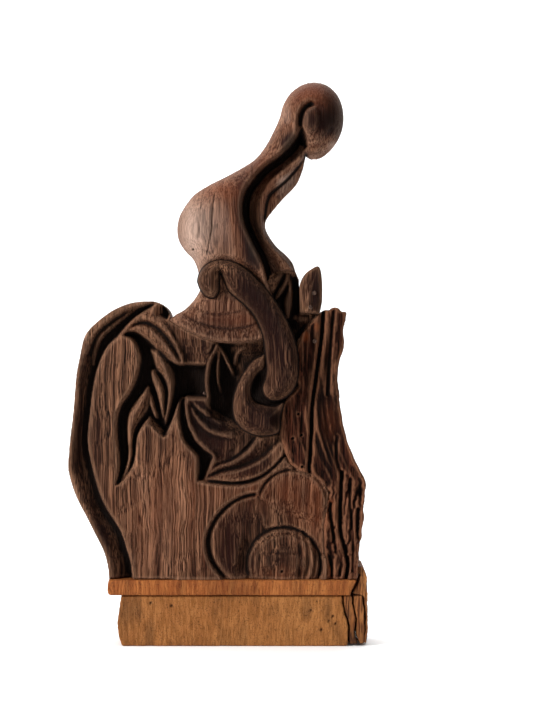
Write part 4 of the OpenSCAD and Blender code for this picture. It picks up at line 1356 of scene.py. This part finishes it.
# Painted light and shade on the neck: the channel and the dark side of its rib are painted nearly black, the
# knob's right side is darkened, the flap and the knob's lower rim are given painted highlights, and the
# bulb's left side is paled, partly bleached wood and partly a painted highlight
patches(neck, [(-18, 276, 10, 26, 0.6), (-26, 224, 8, 6, 0.25), (1, 284, 12, 22, 0.3),
               (24, 318, 22, 14, -0.2), (47, 356, 5, 18, 0.3), (74, 352, 12, 18, -1.5),
               (62, 371, 18, 7, -0.5), (48, 308, 9, 12, 1.0), (36, 296, 4, 12, -0.9),
               (40, 318, 8, 4, -0.9), (2, 214, 34, 12, -0.55), (17, 292, 5, 16, -1.9),
               (24, 266, 6, 16, -1.8), (31, 318, 8, 6, -1.8), (48, 333, 6, 8, -1.8), (77, 335, 7, 5, 0.9),
               (44, 265, 8, 10, -0.5), (14, 300, 8, 16, -0.2), (60, 350, 6, 10, -0.5),
               (54, 362, 6, 10, -0.35)])
# Painted highlights: small pale spots along the tendril's upper side and curl
patches(tendril, [(30, 226, 40, 60, -1.1), (0, 246, 12, 8, 0.1), (26, 244, 8, 6, 0.25),
                  (52, 190, 5, 30, -0.3), (36, 231, 4, 11, 0.45), (44, 213, 3, 15, 0.35),
                  (9, 252, 10, 4, 0.35)])
# Painted light and shade: the boss's left side is paled and the hollow on its right side darkened, over a
# general darkening
patches(boss, [(28, 160, 30, 40, -0.85), (16, 160, 6, 14, 0.2), (40, 152, 6, 14, -0.4)])
patches(foot, [(-60, 20, 20, 40, -0.12), (60, 20, 40, 40, 0.08)])
patches(rail, [(60, 40, 50, 20, 0.1)])
patches(inner, [(90, 4, 10, 10, -0.6), (86, 20, 2, 4, -0.5)])
patches(middle, [(92, 4, 4, 8, -0.2)])
patches(outer, [(100, 26, 2, 20, -0.3), (94, 50, 3, 8, -0.5)])

finish_as(board, WEATHERED, "carved_board", slot_name="weathered_teak")
finish_as(tendril, WEATHERED, "scroll_tendril", slot_name="weathered_teak")
finish_as(boss, WEATHERED, "scroll_boss", slot_name="weathered_teak")
finish_as(leaf, WEATHERED, "right_leaf", slot_name="weathered_teak")
finish_as(neck, BLEACHED, "neck_finial", slot_name="bleached_teak")
finish_as(stave, SPLIT, "weathered_stave", slot_name="split_teak")
finish_as(rail, RAIL, "shoulder_rail", slot_name="rail_teak")
finish_as(foot, FOOT, "tenon_block", slot_name="foot_teak")
finish_as(inner, SPLINTER, "inner_sliver", slot_name="splinter_teak")
finish_as(middle, SPLINTER, "middle_sliver", slot_name="splinter_teak")
finish_as(outer, SPLINTER, "outer_sliver", slot_name="splinter_teak")
finish_as(brads, STEEL, "brads", slot_name="brad_steel")

peg_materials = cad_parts["dowels"].data.materials
peg_materials.clear()
peg_materials.append(RAIL)


# The pale ground it stands on, the light, and the camera

def ground():
    """A pale sheet that lies flat under the piece and sweeps up behind it."""
    bpy.ops.object.select_all(action="DESELECT")
    bpy.ops.mesh.primitive_plane_add(size=6, location=(0, 0, 0))
    floor = bpy.context.object
    floor.name = "studio_floor"
    choose(floor, lambda p: p.y > 0)
    bpy.ops.mesh.select_mode(type="EDGE")
    bpy.ops.transform.translate(value=(0, -2.2, 0))
    radius, steps = 0.4, 8
    for k in range(1, steps + 1):
        a = math.radians(90 * k / steps)
        b = math.radians(90 * (k - 1) / steps)
        step = (0, radius * (math.sin(a) - math.sin(b)), radius * (math.cos(b) - math.cos(a)))
        bpy.ops.mesh.extrude_region_move(TRANSFORM_OT_translate={"value": step})
    bpy.ops.mesh.extrude_region_move(TRANSFORM_OT_translate={"value": (0, 0, 3)})
    bpy.ops.mesh.select_mode(type="VERT")
    bpy.ops.object.mode_set(mode="OBJECT")
    bpy.ops.object.shade_smooth()
    paper = bpy.data.materials.new("plain pale paper")
    paper.use_nodes = True
    shader = paper.node_tree.nodes["Principled BSDF"]
    shader.inputs["Base Color"].default_value = (0.93, 0.93, 0.93, 1)
    shader.inputs["Roughness"].default_value = 0.9
    floor.data.materials.append(paper)
    return floor


def lamp(name, spot, target, size, power):
    """A square white lamp at a spot, turned to its target."""
    data = bpy.data.lights.new(name, "AREA")
    data.size = size
    data.energy = power
    light = bpy.data.objects.new(name, data)
    bpy.context.collection.objects.link(light)
    light.location = spot
    light.rotation_euler = (Vector(target) - Vector(spot)).to_track_quat("-Z", "Y").to_euler()


ground()
centre = (0.0, 0.0, 0.18)
lamp("key", (-1.15, -0.64, 0.62), centre, 0.35, 29)
lamp("fill", (0.4, -1.3, 0.4), centre, 0.9, 1.8)
lamp("backdrop_wash", (0.0, 0.25, 1.9), (0.0, 1.0, 0.4), 1.2, 44)

world = bpy.data.worlds.new("studio air")
world.use_nodes = True
air = world.node_tree.nodes["Background"]
air.inputs["Color"].default_value = (1, 1, 1, 1)
air.inputs["Strength"].default_value = 0.10
bpy.context.scene.world = world

lens = bpy.data.cameras.new("viewer")
lens.sensor_fit = "VERTICAL"
lens.sensor_height = 36
lens.lens = 68.35
camera = bpy.data.objects.new("viewer", lens)
bpy.context.collection.objects.link(camera)
camera.location = (0.0323, -0.908, 0.194)
camera.rotation_euler = (math.pi / 2, 0, 0)
bpy.context.scene.camera = camera
bpy.context.scene.view_settings.view_transform = "Standard"
